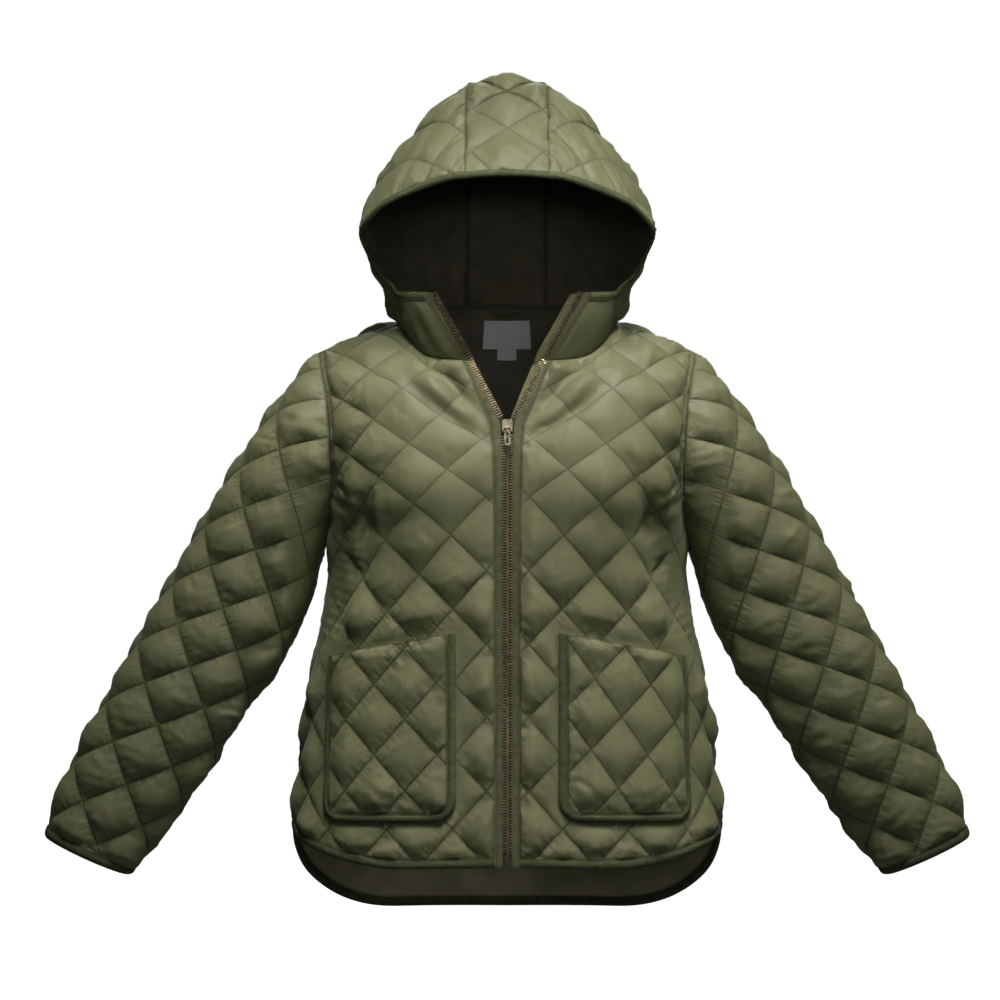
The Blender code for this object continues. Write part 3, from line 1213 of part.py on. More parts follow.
class Jacket:
    """The patches, and the seams that their pieces share, on the +X side."""

    def __init__(self):
        front_rows = [smoothed(row) for row in FRONT_TOP]
        back_rows = [smoothed(row) for row in BACK_TOP]
        for hoop in HOOPS:
            level = 20.0 if hoop is HOOPS[0] else 0.0  # the first hoop is higher at the centre
            front_rows.append(hoop_points(hoop.half_width, -hoop.front_depth, hoop.height + level, hoop.height))
            back_rows.append(hoop_points(hoop.half_width, hoop.back_depth, hoop.height + 2 * level, hoop.height))
        body = (0, 0, -330)
        head = (0, 20, 110)
        arm = (SLEEVE[5].top_x - 60, SLEEVE[5].middle_y, SLEEVE[5].top_z - 40)
        corners = (FRONT_NECK_ROWS, SLIDER_ROW)
        self.front = Patch(front_rows, body, corners=corners, pinned_from=FRONT_NECK_ROWS, folded=True)
        self.back = Patch(back_rows, body, corners=(BACK_NECK_ROWS,), pinned_from=BACK_NECK_ROWS)
        self.sleeve_front = Patch([cross_points(c, True) for c in SLEEVE], arm, paced_by=3)
        self.sleeve_back = Patch([cross_points(c, False) for c in SLEEVE], arm, paced_by=3)
        self.hood = Patch([smoothed(row) for row in HOOD_SIDE], head, paced_by=0)
        self.strip = Patch(self.strip_rows(), head, paced_by=COLUMNS - 1)
        # stations on the seams
        knots = self.front.knots
        self.t_collar = knots[FRONT_NECK_ROWS]
        self.t_neck_front = share_nearest(self.front, 0, 0, self.t_collar, COLLAR[0].outer)
        neck = self.front.at(np.zeros(100), np.linspace(self.t_collar, self.t_neck_front, 100))
        rows = [resample(neck, COLUMNS - 1)] + [smoothed(row) for row in COLLAR[1:]]
        self.collar = Patch(rows, (40, 0, 0), grid=(13, 13))
        self.t_zip = share_nearest(self.front, 0, 0, self.t_collar, self.front.at(*self.off_zip())[0])
        self.t_neck_back = share_nearest(self.back, 0, 0, self.back.knots[BACK_NECK_ROWS], HOOD_SIDE[-1].inner)
        self.t_arm_front = share_nearest(self.front, 1, 0.1, 0.6, UNDERARM)
        self.t_arm_back = share_nearest(self.back, 1, 0.1, 0.6, UNDERARM)

    def off_zip(self):
        """The place on the neck seam at TAPE_REACH from the zip's line."""
        t = np.linspace(0, self.front.knots[FRONT_NECK_ROWS], 400)
        u = self.front.cut(np.zeros(400), t)[:, 0]
        return np.zeros(1), np.array([t[np.abs(u - TAPE_REACH).argmin()]])

    def strip_rows(self):
        """Half of the centre strip, over the seams of the hood's sides."""
        seam = np.array([row.inner for row in HOOD_SIDE], float)
        along = np.gradient(seam[:, 1:], axis=0)
        out = unit(np.column_stack([-along[:, 1], along[:, 0]]))
        out *= np.sign((out * (seam[:, 1:] - [20, 110])).sum(1))[:, None]
        rows = []
        for k, point in enumerate(seam):
            f = np.linspace(0, 1, COLUMNS)
            lift = STRIP_RISE * (1 - f * f) * (1 if 0 < k < len(seam) - 1 else 0.8)
            rows.append(np.column_stack([f * point[0], point[1] + lift * out[k, 0], point[2] + lift * out[k, 1]]))
        return rows

    def v_at_height(self, patch, height):
        """The place down a patch's inner edge at a height, in its flat cut."""
        return patch.cut(np.zeros(1), np.array([patch.t_at_height(0, height)]))[0, 1]

    def edges_of_front(self):
        f = self.front
        tip = f.t_at_height(1, HEM_SIDE)
        self.t_tip_front = tip
        end = tip - (tip - self.t_arm_front) * 12.0 / f.length(1, self.t_arm_front, 1, tip)
        neck_zip = f.line(0, self.t_zip, 0, self.t_neck_front, steps_for(80))
        neck_hood = f.line(0, self.t_neck_front, 0, 0, 2)
        shoulder = f.line(0, 0, 1, 0, 4)
        arm = f.line(1, 0, 1, self.t_arm_front, steps_for(f.length(1, 0, 1, self.t_arm_front)))
        side = f.line(1, self.t_arm_front, 1, end, steps_for(f.length(1, self.t_arm_front, 1, end)))
        self.front_hem = self.hem(f, HEM_FRONT, HEM_FRONT_FLAT, HEM_FRONT_CURVE, tip, TAPE_REACH, side.places[-1])
        hem = self.front_hem[0][::-1]
        low = hem[-1]
        top = neck_zip.places[0]
        self.zip_v = np.linspace(top[1], low[1], SAMPLES_ZIP + 1)
        zip_line = np.column_stack([np.full(SAMPLES_ZIP + 1, TAPE_REACH), self.zip_v[::-1]])
        return {
            "neck_zip": neck_zip, "neck_hood": neck_hood, "shoulder": shoulder, "arm": arm, "side": side,
            "hem": self.starting(self.free(f, hem), side), "zip": self.free(f, zip_line),
        }

    def starting(self, edge, before):
        """An edge whose first point is the last one of the edge before it."""
        edge.points[0] = before.points[-1]
        return edge

    def free(self, patch, places, left=None):
        """An edge that no other piece shares."""
        return Edge(places, Cloth(patch, left).spot(places)[0])

    def hem(self, patch, low, flat, power, tip, start, end):
        """The hem as pairs of places: the edge of the cloth's wall, and the edge of its binding."""
        v_low = patch.cut(np.zeros(1), np.array([patch.t_at_height(0, low)]))[0, 1]
        tip_place = patch.cut(np.ones(1), np.array([tip]))[0]
        count = steps_for(tip_place[0] - start)
        u = np.linspace(start, tip_place[0], count + 1)
        v = v_low - (v_low - tip_place[1]) * rise(u, flat, tip_place[0], power)
        outer = np.column_stack([u, v])
        slope = np.gradient(v, u)
        inner = np.column_stack([u, v - (BINDING + SEAM_GAP) * np.sqrt(1 + slope**2)])
        inner[-1] = end
        return inner, outer

    def edges_of_back(self, front):
        b = self.back
        tip = b.t_at_height(1, HEM_SIDE)
        centre = b.knots[BACK_NECK_ROWS]
        neck_hood = b.line(0, 0, 0, self.t_neck_back, 4)
        neck_strip = b.line(0, self.t_neck_back, 0, centre, 2)
        shoulder = b.line(0, 0, 1, 0, len(front["shoulder"].places) - 1)
        arm = b.line(1, 0, 1, self.t_arm_back, steps_for(b.length(1, 0, 1, self.t_arm_back)))
        end = tip - (tip - self.t_arm_back) * 12.0 / b.length(1, self.t_arm_back, 1, tip)
        side = b.line(1, self.t_arm_back, 1, end, len(front["side"].places) - 1)
        end_place = side.places[-1]
        self.back_hem = self.hem(b, HEM_BACK, HEM_BACK_FLAT, HEM_BACK_CURVE, tip, 0.0, end_place)
        return {
            "neck_hood": neck_hood, "neck_strip": neck_strip,
            "shoulder": Edge(shoulder.places, front["shoulder"].points),
            "arm": Edge(arm.places, np.vstack([front["arm"].points[:1], arm.points[1:-1], front["arm"].points[-1:]])),
            "side": Edge(side.places, front["side"].points),
            "hem": self.starting(self.free(b, self.back_hem[0][::-1], b), front["side"]),
        }

    def pinned_at(self, patch, s, t_from, t_to, distance):
        """The t on a line of constant s at a distance from t_from, towards t_to."""
        t = np.linspace(t_from, t_to, 400)
        return float(np.interp(distance, lengths_along(patch.at(np.full(400, float(s)), t)), t))

    def edges_of_sleeve(self, front, back):
        """Half a sleeve towards the front, then half towards the back, each from the top line."""
        halves = []
        t_end = self.pinned_at(self.sleeve_front, 0.5, 1, 0, BINDING + SEAM_GAP)
        self.t_cuff = t_end
        for patch, arm in ((self.sleeve_front, front["arm"]), (self.sleeve_back, back["arm"])):
            cap = patch.line(0, 0, 1, 0, len(arm.places) - 1)
            low = patch.line(1, 0, 1, t_end, steps_for(480))
            cuff = patch.line(1, t_end, 0, t_end, CUFF_STEPS)
            halves.append((Edge(cap.places, arm.points), low, cuff))
        low = (halves[0][1].points + halves[1][1].points) / 2
        low[0] = front["arm"].points[-1]
        return [(cap, Edge(under.places, low), cuff) for cap, under, cuff in halves]

    def edges_of_hood(self, front, back):
        h, s = self.hood, self.strip
        start = self.pinned_at(h, 0, 0, 1, FACE_BINDING + SEAM_GAP)
        t_corner = h.knots[FACE_ROWS - 1]
        collar_top = self.pinned_at(h, 1, t_corner, 1, FACE_BINDING + SEAM_GAP)
        seam = h.line(0, start, 0, 1, steps_for(500))
        neck = h.line(0, 1, 1, 1, 6)
        neck_points = np.vstack([back["neck_hood"].points[::-1][:-1], front["neck_hood"].points[::-1]])
        collar = self.starting(h.line(1, 1, 1, collar_top, 2), front["neck_zip"])
        seam.points[-1] = back["neck_hood"].points[-1]
        face = h.line(1, t_corner, 1, 0, steps_for(h.length(1, 0, 1, t_corner)))
        outer = face.places
        side = np.gradient(outer, axis=0)
        side = unit(np.column_stack([-side[:, 1], side[:, 0]]))
        inner = outer + side * (FACE_BINDING + SEAM_GAP) * np.sign((side * (np.array([0, 200]) - outer)).sum(1))[:, None]
        inner[0], inner[-1] = collar.places[-1], seam.places[0]
        self.face_pairs = (inner, outer)
        strip_start = self.pinned_at(s, 1, 0, 1, FACE_BINDING + SEAM_GAP)
        self.strip_start = strip_start
        strip_seam = s.line(1, strip_start, 1, 1, len(seam.places) - 1)
        strip_neck = s.line(1, 1, 0, 1, 2)
        strip_face = s.line(0, strip_start, 1, strip_start, 2)
        strip_face.points[-1] = seam.points[0]
        return {
            "seam": seam, "neck": Edge(neck.places, neck_points), "collar": collar, "face": self.starting(self.free(h, inner), collar),
            "strip_seam": Edge(strip_seam.places, seam.points),
            "strip_neck": Edge(strip_neck.places, back["neck_strip"].points), "strip_face": strip_face,
        }

    def edges_of_collar(self, front, hood):
        c = self.collar
        share = np.linspace(0, 1, 200)
        gap = np.linalg.norm(c.at(share, np.zeros(200)) - front["neck_zip"].points[0], axis=1)
        neck = c.line(share[gap.argmin()], 0, 1, 0, len(front["neck_zip"].places) - 1)
        self.neck_u = neck.places[0, 0]
        top_t = self.pinned_at(c, 1, 1, 0, FACE_BINDING + SEAM_GAP)
        side = c.line(1, 0, 1, top_t, len(hood["collar"].places) - 1)
        top = c.line(1, 1, 0, 1, 4)
        v_top = self.pinned_at(c, 0, 1, 0, FACE_BINDING + SEAM_GAP)
        inner = c.line(1, top_t, 0, v_top, 4)
        ends, top_end = (self.at_u(line.places, TAPE_REACH) for line in (inner, top))
        inner_places = np.vstack([inner.places[:4], ends])
        self.collar_pairs = (inner_places, np.vstack([top.places[:4], top_end]))
        for line in self.collar_pairs:
            line[-1, 0] += 2 * SEAM_GAP
        zip_line = np.linspace(ends, neck.places[0], 4)
        return [
            Edge(neck.places, front["neck_zip"].points), Edge(side.places, hood["collar"].points),
            self.starting(self.free(c, inner_places), hood["collar"]), self.free(c, zip_line),
        ]


    def at_u(self, line, u):
        """The place on a line of places, of falling U, at one U."""
        share = np.interp(-u, -line[:, 0], np.arange(len(line)))
        return np.array([np.interp(share, np.arange(len(line)), line[:, k]) for k in range(2)])


def build_cloth(jacket):
    j = jacket
    front = j.edges_of_front()
    back = j.edges_of_back(front)
    sleeve = j.edges_of_sleeve(front, back)
    hood = j.edges_of_hood(front, back)
    collar = j.edges_of_collar(front, hood)
    crossing_v = j.v_at_height(j.front, CROSSING_HEIGHT)
    lattice = Lattice(DIAMOND_WIDE, DIAMOND_TALL, FIRST_COLUMN, crossing_v, tight=CHEST_TIGHT)
    sleeve_lattice = Lattice(*SLEEVE_DIAMOND, *SLEEVE_CROSSING, SLEEVE_LEAN, SLEEVE_TILT)
    hood_lattice = Lattice(*HOOD_DIAMOND, *HOOD_CROSSING, -HOOD_TURN, HOOD_TURN)
    strip_lattice = Lattice(*STRIP_DIAMOND, *STRIP_CROSSING, tight=STRIP_TIGHT)
    pieces = []
    (cap_f, low_f, cuff_f), (cap_b, low_b, cuff_b) = sleeve
    for side, word in ((1, "left"), (-1, "right")):
        edges = [front[name] for name in ("neck_zip", "neck_hood", "shoulder", "arm", "side", "hem", "zip")]
        pieces.append(Piece("front_" + word, Cloth(j.front, side=side), edges, lattice, under_pocket(j)))
        edges = [cap_f, low_f, cuff_f] + [mirrored_places(e) for e in (cuff_b, low_b, cap_b)]
        arm = Cloth(j.sleeve_front, j.sleeve_back, side)
        pieces.append(Piece("sleeve_" + word, arm, edges, sleeve_lattice, under_arm))
        edges = [hood[name] for name in ("seam", "neck", "collar", "face")]
        pieces.append(Piece("hood_side_" + word, Cloth(j.hood, side=side), edges, hood_lattice))
        pieces.append(Piece("collar_" + word, Cloth(j.collar, side=side), collar))
    half = [reverse(back[name]) for name in ("neck_strip", "neck_hood")]
    half += [back[name] for name in ("shoulder", "arm", "side", "hem")]
    back_lattice = Lattice(DIAMOND_WIDE, DIAMOND_TALL, 0.0, j.v_at_height(j.back, CROSSING_HEIGHT))
    pieces.append(Piece("back", Cloth(j.back, j.back), half + [mirrored(e) for e in reversed(half)], back_lattice, under_arm))
    half = [hood[name] for name in ("strip_face", "strip_seam", "strip_neck")]
    pieces.append(Piece("hood_centre", Cloth(j.strip, j.strip), half + [mirrored(e) for e in reversed(half)], strip_lattice))
    pieces += pocket_pieces(j)
    settle_seams()
    for piece in pieces:
        piece.build()


def main():
    for item in list(bpy.data.objects):
        bpy.data.objects.remove(item, do_unlink=True)
    collection = bpy.data.collections.new("jacket")
    bpy.context.scene.collection.children.link(collection)
    jacket = Jacket()
    build_cloth(jacket)
    build_bindings(jacket)
    build_zip(jacket)
    build_neck(jacket)
    return jacket


if __name__ == "__main__":
    main()
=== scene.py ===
"""The looks of the hooded quilted jacket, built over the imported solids.

Each piece of cloth is the patch that the solid was made from, with a fine mesh: its flat cut is
quilted in diamonds and laid back on the patch. Sizes are in millimetres until a mesh is made.
"""

import math
from collections import namedtuple
from functools import reduce

import bpy
import numpy as np
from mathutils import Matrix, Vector, geometry


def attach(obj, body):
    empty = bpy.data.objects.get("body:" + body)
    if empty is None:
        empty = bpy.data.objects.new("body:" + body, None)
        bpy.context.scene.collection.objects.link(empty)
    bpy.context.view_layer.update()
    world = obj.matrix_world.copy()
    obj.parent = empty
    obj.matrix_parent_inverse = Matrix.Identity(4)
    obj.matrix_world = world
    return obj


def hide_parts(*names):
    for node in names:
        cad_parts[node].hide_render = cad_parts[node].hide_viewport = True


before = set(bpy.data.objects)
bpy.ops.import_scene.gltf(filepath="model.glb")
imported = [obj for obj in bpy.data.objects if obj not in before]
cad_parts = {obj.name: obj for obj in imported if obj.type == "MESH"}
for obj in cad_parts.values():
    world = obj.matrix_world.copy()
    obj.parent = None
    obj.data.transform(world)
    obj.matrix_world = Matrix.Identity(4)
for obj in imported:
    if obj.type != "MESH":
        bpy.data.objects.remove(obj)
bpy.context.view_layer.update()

MM = 0.001

# ---- driving sizes, mm -------------------------------------------------------------------------
WALL = 3.0  # cloth, wadding and lining where they are stitched together
SEAM_GAP = 0.3  # between two pieces at a seam
BOUND_GAP = 0.4  # from the line of a seam to the binding beyond it
PUFF = 7.0  # how far a diamond stands over its stitch lines
PUFF_UNDER_POCKET = 0.2  # share of that left where a pocket presses on it
PUFF_UNDER_ARM = 0.15  # and where the sleeve lies against the side
SAMPLE = 6.0  # spacing of the points along an edge
SAMPLES_ZIP = 97  # steps along the front's edge at the zip
SHOULDER_STEPS = 16
NECK_FRONT_STEPS, NECK_BACK_STEPS = 6, 18  # along the neck seam under a side of the hood
STRIP_STEPS = 8  # across half of the hood's centre strip
COLLAR_STEPS, COLLAR_END_STEPS = 12, 8  # along its top, and up its side seam
COLLAR_ZIP_POINTS = 14
HOOD_SEAM_LONG, NECK_ZIP_LONG, SLEEVE_SEAM_LONG = 500, 80, 480  # rough lengths of some seams

DIAMOND_WIDE, DIAMOND_TALL = 73.5, 80.0  # from corner to corner, on the fronts and back
FIRST_COLUMN = 23.0  # first column of stitch crossings, from the zip's centre line
CROSSING_HEIGHT = -187.5  # height of one crossing in that column
CHEST_TIGHT = 0.83  # above it the rows are closer by this, as the chest takes up some length
SLEEVE_DIAMOND = (72.0, 75.0)
SLEEVE_CROSSING = (2.0, 47.5)  # a crossing, from the sleeve's top line and the shoulder
SLEEVE_LEAN, SLEEVE_TILT = -0.052, -0.047  # its columns follow the taper
HOOD_DIAMOND = (66.5, 70.5)
HOOD_CROSSING = (29.0, 28.5)  # from the hood's seam and the face
HOOD_TURN = 0.384  # tangent of the turn of the hood's sides on the quilted cloth
STRIP_DIAMOND = (80.0, 84.0)
STRIP_CROSSING = (40.0, 43.0)
STRIP_TIGHT = 1.6  # its rows are wider apart at the face, where the hood rises

BINDING = 9.0  # width of the bound edge of hem and cuffs
FACE_BINDING = 7.0  # width of the bound edge of the hood
TAPE_REACH = 13.5  # from the zip's centre line to the edge of the front
FACING_SHOWS = 9.5  # the left facing's edge that shows beyond the open chain
CHAIN_HALF = 4.2  # half the width of the closed zip chain
TAPE_THICK = 1.4

HEM_FRONT = -590.0  # lowest height of the front hem
HEM_BACK = -668.0  # and of the back hem, longer behind
HEM_SIDE = -556.0  # where both meet at the side seam
HEM_FRONT_FLAT = 125.0  # the hem is level this far from the centre, along the cloth
HEM_BACK_FLAT = 125.0
HEM_FRONT_CURVE = 1.5  # power of the rise towards the side
HEM_BACK_CURVE = 2.3

POCKET_INNER = 56.0  # side of the pocket towards the zip, from the zip's centre line
POCKET_WIDE = 157.0
POCKET_TOP = -334.0  # height of the top edge at its inner corner
POCKET_DROP = 22.0  # the top edge slants down this much to the side
POCKET_BOTTOM = -539.0
POCKET_CORNER = 24.0  # radius of the bottom corners
POCKET_LIFT = 4.2  # the pocket's lining face over the front's stitched surface
POCKET_EDGE_LIFT = 1.0  # and its sewn edge
POCKET_DIAMOND = (69.0, 78.0)
POCKET_CROSSING = (111.0, -426.5)  # one crossing, from the zip's centre line and its height
CUFF_STEPS = 24  # steps along each half of a cuff

LABEL_WIDE, LABEL_TALL, LABEL_DROP = 54.0, 35.0, 17.0  # the drop is from the neck seam
TAG_WIDE, TAG_TALL = 20.0, 13.0
LABEL_OFF = 1.8  # from the lining
LABEL_THICK = 0.8
LOOP_WIDE, LOOP_SAG, LOOP_BAND = 36.0, 7.0, 4.0
LOOP_OFF = 2.95  # from the lining
LOOP_THICK = 1.2

SLIDER_TOP, SLIDER_BOTTOM = -104.0, -119.0  # heights of the slider's ends
STOP_TOP = -577.0  # where the stop begins and the teeth end

# ---- sections: four points on the cloth, from the inner edge of a patch to its outer edge --------
Section = namedtuple("Section", "inner second third outer")
SHOULDER = Section((120, 5, 8), (152, 6, -1), (183, 6, -12), (213, 5, -25))
UNDERARM = (203, 0, -235)
FIRST_HOOP_RISE = 20.0  # the first hoop is higher at the centre
SIDE_SHORT = 12.0  # the side seam ends this far above the hem's tip
HOOD_MIDDLE = (20, 110)  # a place (y, z) well inside the hood, which its centre strip goes round
FACE_MIDDLE = (0, 200)  # a place in the flat cut, on the cloth's side of the face
FACING_TAPER = 60.0  # the facing's edge comes out over this much above the slider

FRONT_TOP = [
    SHOULDER,
    Section((116, -20, -2), (148, -23, -13), (180, -26, -28), (208, -26, -48)),
    Section((88, -60, -31), (131, -64, -45), (169, -61, -59), (202, -47, -75)),
    Section((39, -81, -38), (98, -91, -60), (153, -84, -82), (198.5, -61, -105)),
    Section((20.5, -94.5, -70.5), (84, -106, -92), (146, -98, -114), (196, -65, -137)),
    Section((1.5, -107.5, -105), (74, -118, -126), (144, -108, -149), (195, -58, -172)),
    Section((0, -124, -160), (75, -128, -176), (149, -109, -192), (198, -38, -208)),
]
SLIDER_ROW = 5  # the zip's open edges meet at this section
FRONT_NECK_ROWS = 3  # the sections before this one start on the neck seam, the others at the zip

BACK_TOP = [
    SHOULDER,
    Section((110, 32, 17), (144, 37, 4), (178, 39, -15), (208, 32, -48)),
    Section((70, 70, 29), (115, 79, 8), (160, 76, -26), (202, 56, -78)),
    Section((0, 82, 33), (70, 98, 8), (140, 101, -42), (199, 71, -108)),
    Section((0, 97, -5), (72, 112, -28), (142, 111, -78), (197, 77, -143)),
    Section((0, 107, -55), (74, 118, -77), (145, 113, -122), (197, 64, -184)),
    Section((0, 113, -112), (75, 121, -138), (150, 104, -178), (200, 35, -217)),
]
BACK_NECK_ROWS = 3

Hoop = namedtuple("Hoop", "height half_width front_depth back_depth")
HOOPS = [
    Hoop(-235, 203, 129, 116),
    Hoop(-275, 203, 130.5, 117),
    Hoop(-316, 210, 131, 117.5),
    Hoop(-373, 219, 132, 119),
    Hoop(-429, 226, 133, 121),
    Hoop(-486, 232, 135, 122),
    Hoop(-542, 240, 137, 124),
    Hoop(-600, 247, 139, 125),
    Hoop(-700, 256, 141, 126),
]
HOOP_POWER = 2.35  # of the superellipse, so that the front is flatter than an ellipse

# A sleeve's sections: the point on its top line and the one below, both in the XZ plane.
Cross = namedtuple("Cross", "top_x top_z low_x low_z middle_y front_depth back_depth")
SLEEVE = [
    Cross(213, -25, 203, -235, 5, 70, 73),
    Cross(247, -66, 207, -251, 3, 69, 70),
    Cross(283, -118, 212, -269, 0, 66, 66),
    Cross(319, -175, 217, -291, -1, 62, 61),
    Cross(351, -231, 225, -316, -3, 57, 57),
    Cross(382, -288, 250, -367, -6, 53, 53),
    Cross(413, -344, 287, -419, -10, 49, 49),
    Cross(443, -401, 322, -472, -14, 45, 45),
    Cross(473, -457, 357, -525, -18, 40, 40),
    Cross(500, -514, 394, -577, -22, 36, 36),
    Cross(518.5, -568, 423, -612, -25, 33, 33),
]

HOOD_SIDE = [
    Section((46, -114.5, 160), (47.5, -114.4, 159.8), (49, -114.3, 159.6), (50.5, -114.2, 159.4)),
    Section((46, -88, 187), (61, -96, 177), (76, -103, 164), (90, -105, 149)),
    Section((46, -58, 214), (78, -67, 198), (106, -80, 170), (127, -95, 136)),
    Section((46, 0, 261), (90, -11, 228), (130, -43, 169), (152, -80, 119)),
    Section((46, 50, 285), (99, 30, 229), (147, -10, 160), (163, -65, 104)),
    Section((46, 108, 256), (94, 100, 199), (146, 40, 134), (155, -50, 81)),
    Section((46, 136, 190), (102, 112, 140), (149, 44, 92), (139, -42, 55)),
    Section((46, 129, 121), (103, 101, 90), (140, 36, 60), (124, -45, 41)),
    Section((46, 106, 71), (98, 82, 55), (131, 25, 33), (119.5, -35, 17)),
    Section((46, 79.5, 31), (96, 54, 24), (119, 10, 9), (115, -25, -7)),
]
FACE_ROWS = 8  # the hood's sections before this one end at the face, the others at the collar
STRIP_RISE = 4.0  # the centre strip stands this much over its own seams

COLLAR = [
    Section((39, -81, -38), (65, -74, -38), (93, -56, -28), (115, -25, -7)),
    Section((58, -82, -2), (80, -76, -1), (104, -61, 5), (119.5, -35, 17)),
    Section((79, -79, 36), (92, -73, 38), (109, -61, 39), (124, -45, 41)),
]

# Folds pressed into the front: a line through three places (x, z), seen from the front.
Fold = namedtuple("Fold", "x0 z0 x1 z1 x2 z2 depth width")
FOLDS = [
    Fold(139, -160, 163, -236, 204, -345, 11, 17),  # from the bust to the side, under the arm
    Fold(98, -38, 58, -66, 22, -112, 8, 9),  # the collarbone folds run to the slider
    Fold(118, -48, 74, -92, 20, -124, 6, 10),
]


# ---- curves and surfaces -------------------------------------------------------------------------
def hermite(first, last, leave, arrive, f):
    """The cubic from first to last with those slopes, at the share f of the way."""
    return (
        (1 + 2 * f) * (1 - f) ** 2 * first
        + f * (1 - f) ** 2 * leave
        + f * f * (3 - 2 * f) * last
        - f * f * (1 - f) * arrive
    )


def slopes_of(knots, values, corners=()):
    """The slopes at knots, arriving and leaving. At a corner the inner columns have two."""
    arrive = np.gradient(values, knots, axis=0, edge_order=2)
    leave = arrive.copy()
    ends = [0, *corners, len(knots) - 1]
    for k in corners:
        before, after = ends[ends.index(k) - 1], ends[ends.index(k) + 1]
        sharp = np.clip(1 - 2 * np.linspace(0, 1, values.shape[1]), 0, 1)[:, None]
        above = np.gradient(values[before : k + 1], knots[before : k + 1], axis=0, edge_order=2)[-1]
        below = np.gradient(values[k : after + 1], knots[k : after + 1], axis=0, edge_order=2)[0]
        arrive[k], leave[k] = (arrive[k] * (1 - sharp) + side * sharp for side in (above, below))
    return arrive, leave


def spline(knots, values, at, slopes):
    """A smooth curve through values at knots, read at each number of at."""
    arrive, leave = slopes
    i = np.clip(np.searchsorted(knots, at) - 1, 0, len(knots) - 2)
    width = knots[i + 1] - knots[i]
    f = (at - knots[i]) / width
    shape = (-1,) + (1,) * (values.ndim - 1)
    f, width = f.reshape(shape), width.reshape(shape)
    return hermite(values[i], values[i + 1], width * leave[i], width * arrive[i + 1], f)


def unit(vectors):
    return vectors / np.maximum(np.linalg.norm(vectors, axis=-1, keepdims=True), 1e-12)


def turn_of(a, b):
    """The cross product of directions in a flat cut."""
    return a[:, 0] * b[:, 1] - a[:, 1] * b[:, 0]


def beside(x, step):
    """The numbers a step before and a step after each one, kept between 0 and 1."""
    return np.clip(x - step, 0, 1), np.clip(x + step, 0, 1)


def lengths_along(points):
    """The distance from the first point to each point, along the points."""
    steps = np.linalg.norm(np.diff(points, axis=0), axis=1)
    return np.concatenate([[0.0], np.cumsum(steps)])


def resample(points, count):
    """count + 1 points evenly along a line of points."""
    along = lengths_along(points)
    at = np.linspace(0, along[-1], count + 1)
    return np.stack([np.interp(at, along, points[:, k]) for k in range(points.shape[1])], axis=1)


COLUMNS = 7  # points across a section, after it is smoothed
UNROLL_ROUNDS = 60  # in which a sheet is laid flat
SEARCH_ROUNDS = 14  # in which places of a flat cut are found on its patch
STRIDE = 0.8  # share of the way to each place that a round goes
FINE = 200  # points of a line on which a place along it is looked up
Edge = namedtuple("Edge", "places points")  # a run of an outline: in the flat cut and in space


def smoothed(section):
    """COLUMNS points on the cubic through the four points of a section."""
    points = np.array(section, float)
    at = np.linspace(0, 3, COLUMNS)
    weights = np.ones((COLUMNS, 4))
    for i in range(4):
        for j in range(4):
            if i != j:
                weights[:, i] *= (at - j) / (i - j)
    return weights @ points


def hoop_points(half_width, depth, inner_height, outer_height):
    """COLUMNS points evenly along a quarter of the body, from the centre to the side."""
    angle = np.linspace(0, math.pi / 2, 200)
    x = half_width * np.sin(angle) ** (2 / HOOP_POWER)
    y = depth * np.cos(angle) ** (2 / HOOP_POWER)
    quarter = resample(np.stack([x, y], axis=1), COLUMNS - 1)
    height = np.linspace(inner_height, outer_height, COLUMNS)
    return np.column_stack([quarter, height])


def cross_points(cross, front):
    """COLUMNS points over half of a sleeve, from its top line to its lower line."""
    angle = np.linspace(0, math.pi, COLUMNS)
    top = np.array([cross.top_x, cross.middle_y, cross.top_z])
    low = np.array([cross.low_x, cross.middle_y, cross.low_z])
    depth = -cross.front_depth if front else cross.back_depth
    middle, half = (top + low) / 2, (top - low) / 2
    bulge = np.sin(angle)[:, None] ** 0.9 * np.array([0, depth, 0])
    return middle + np.cos(angle)[:, None] * half + bulge


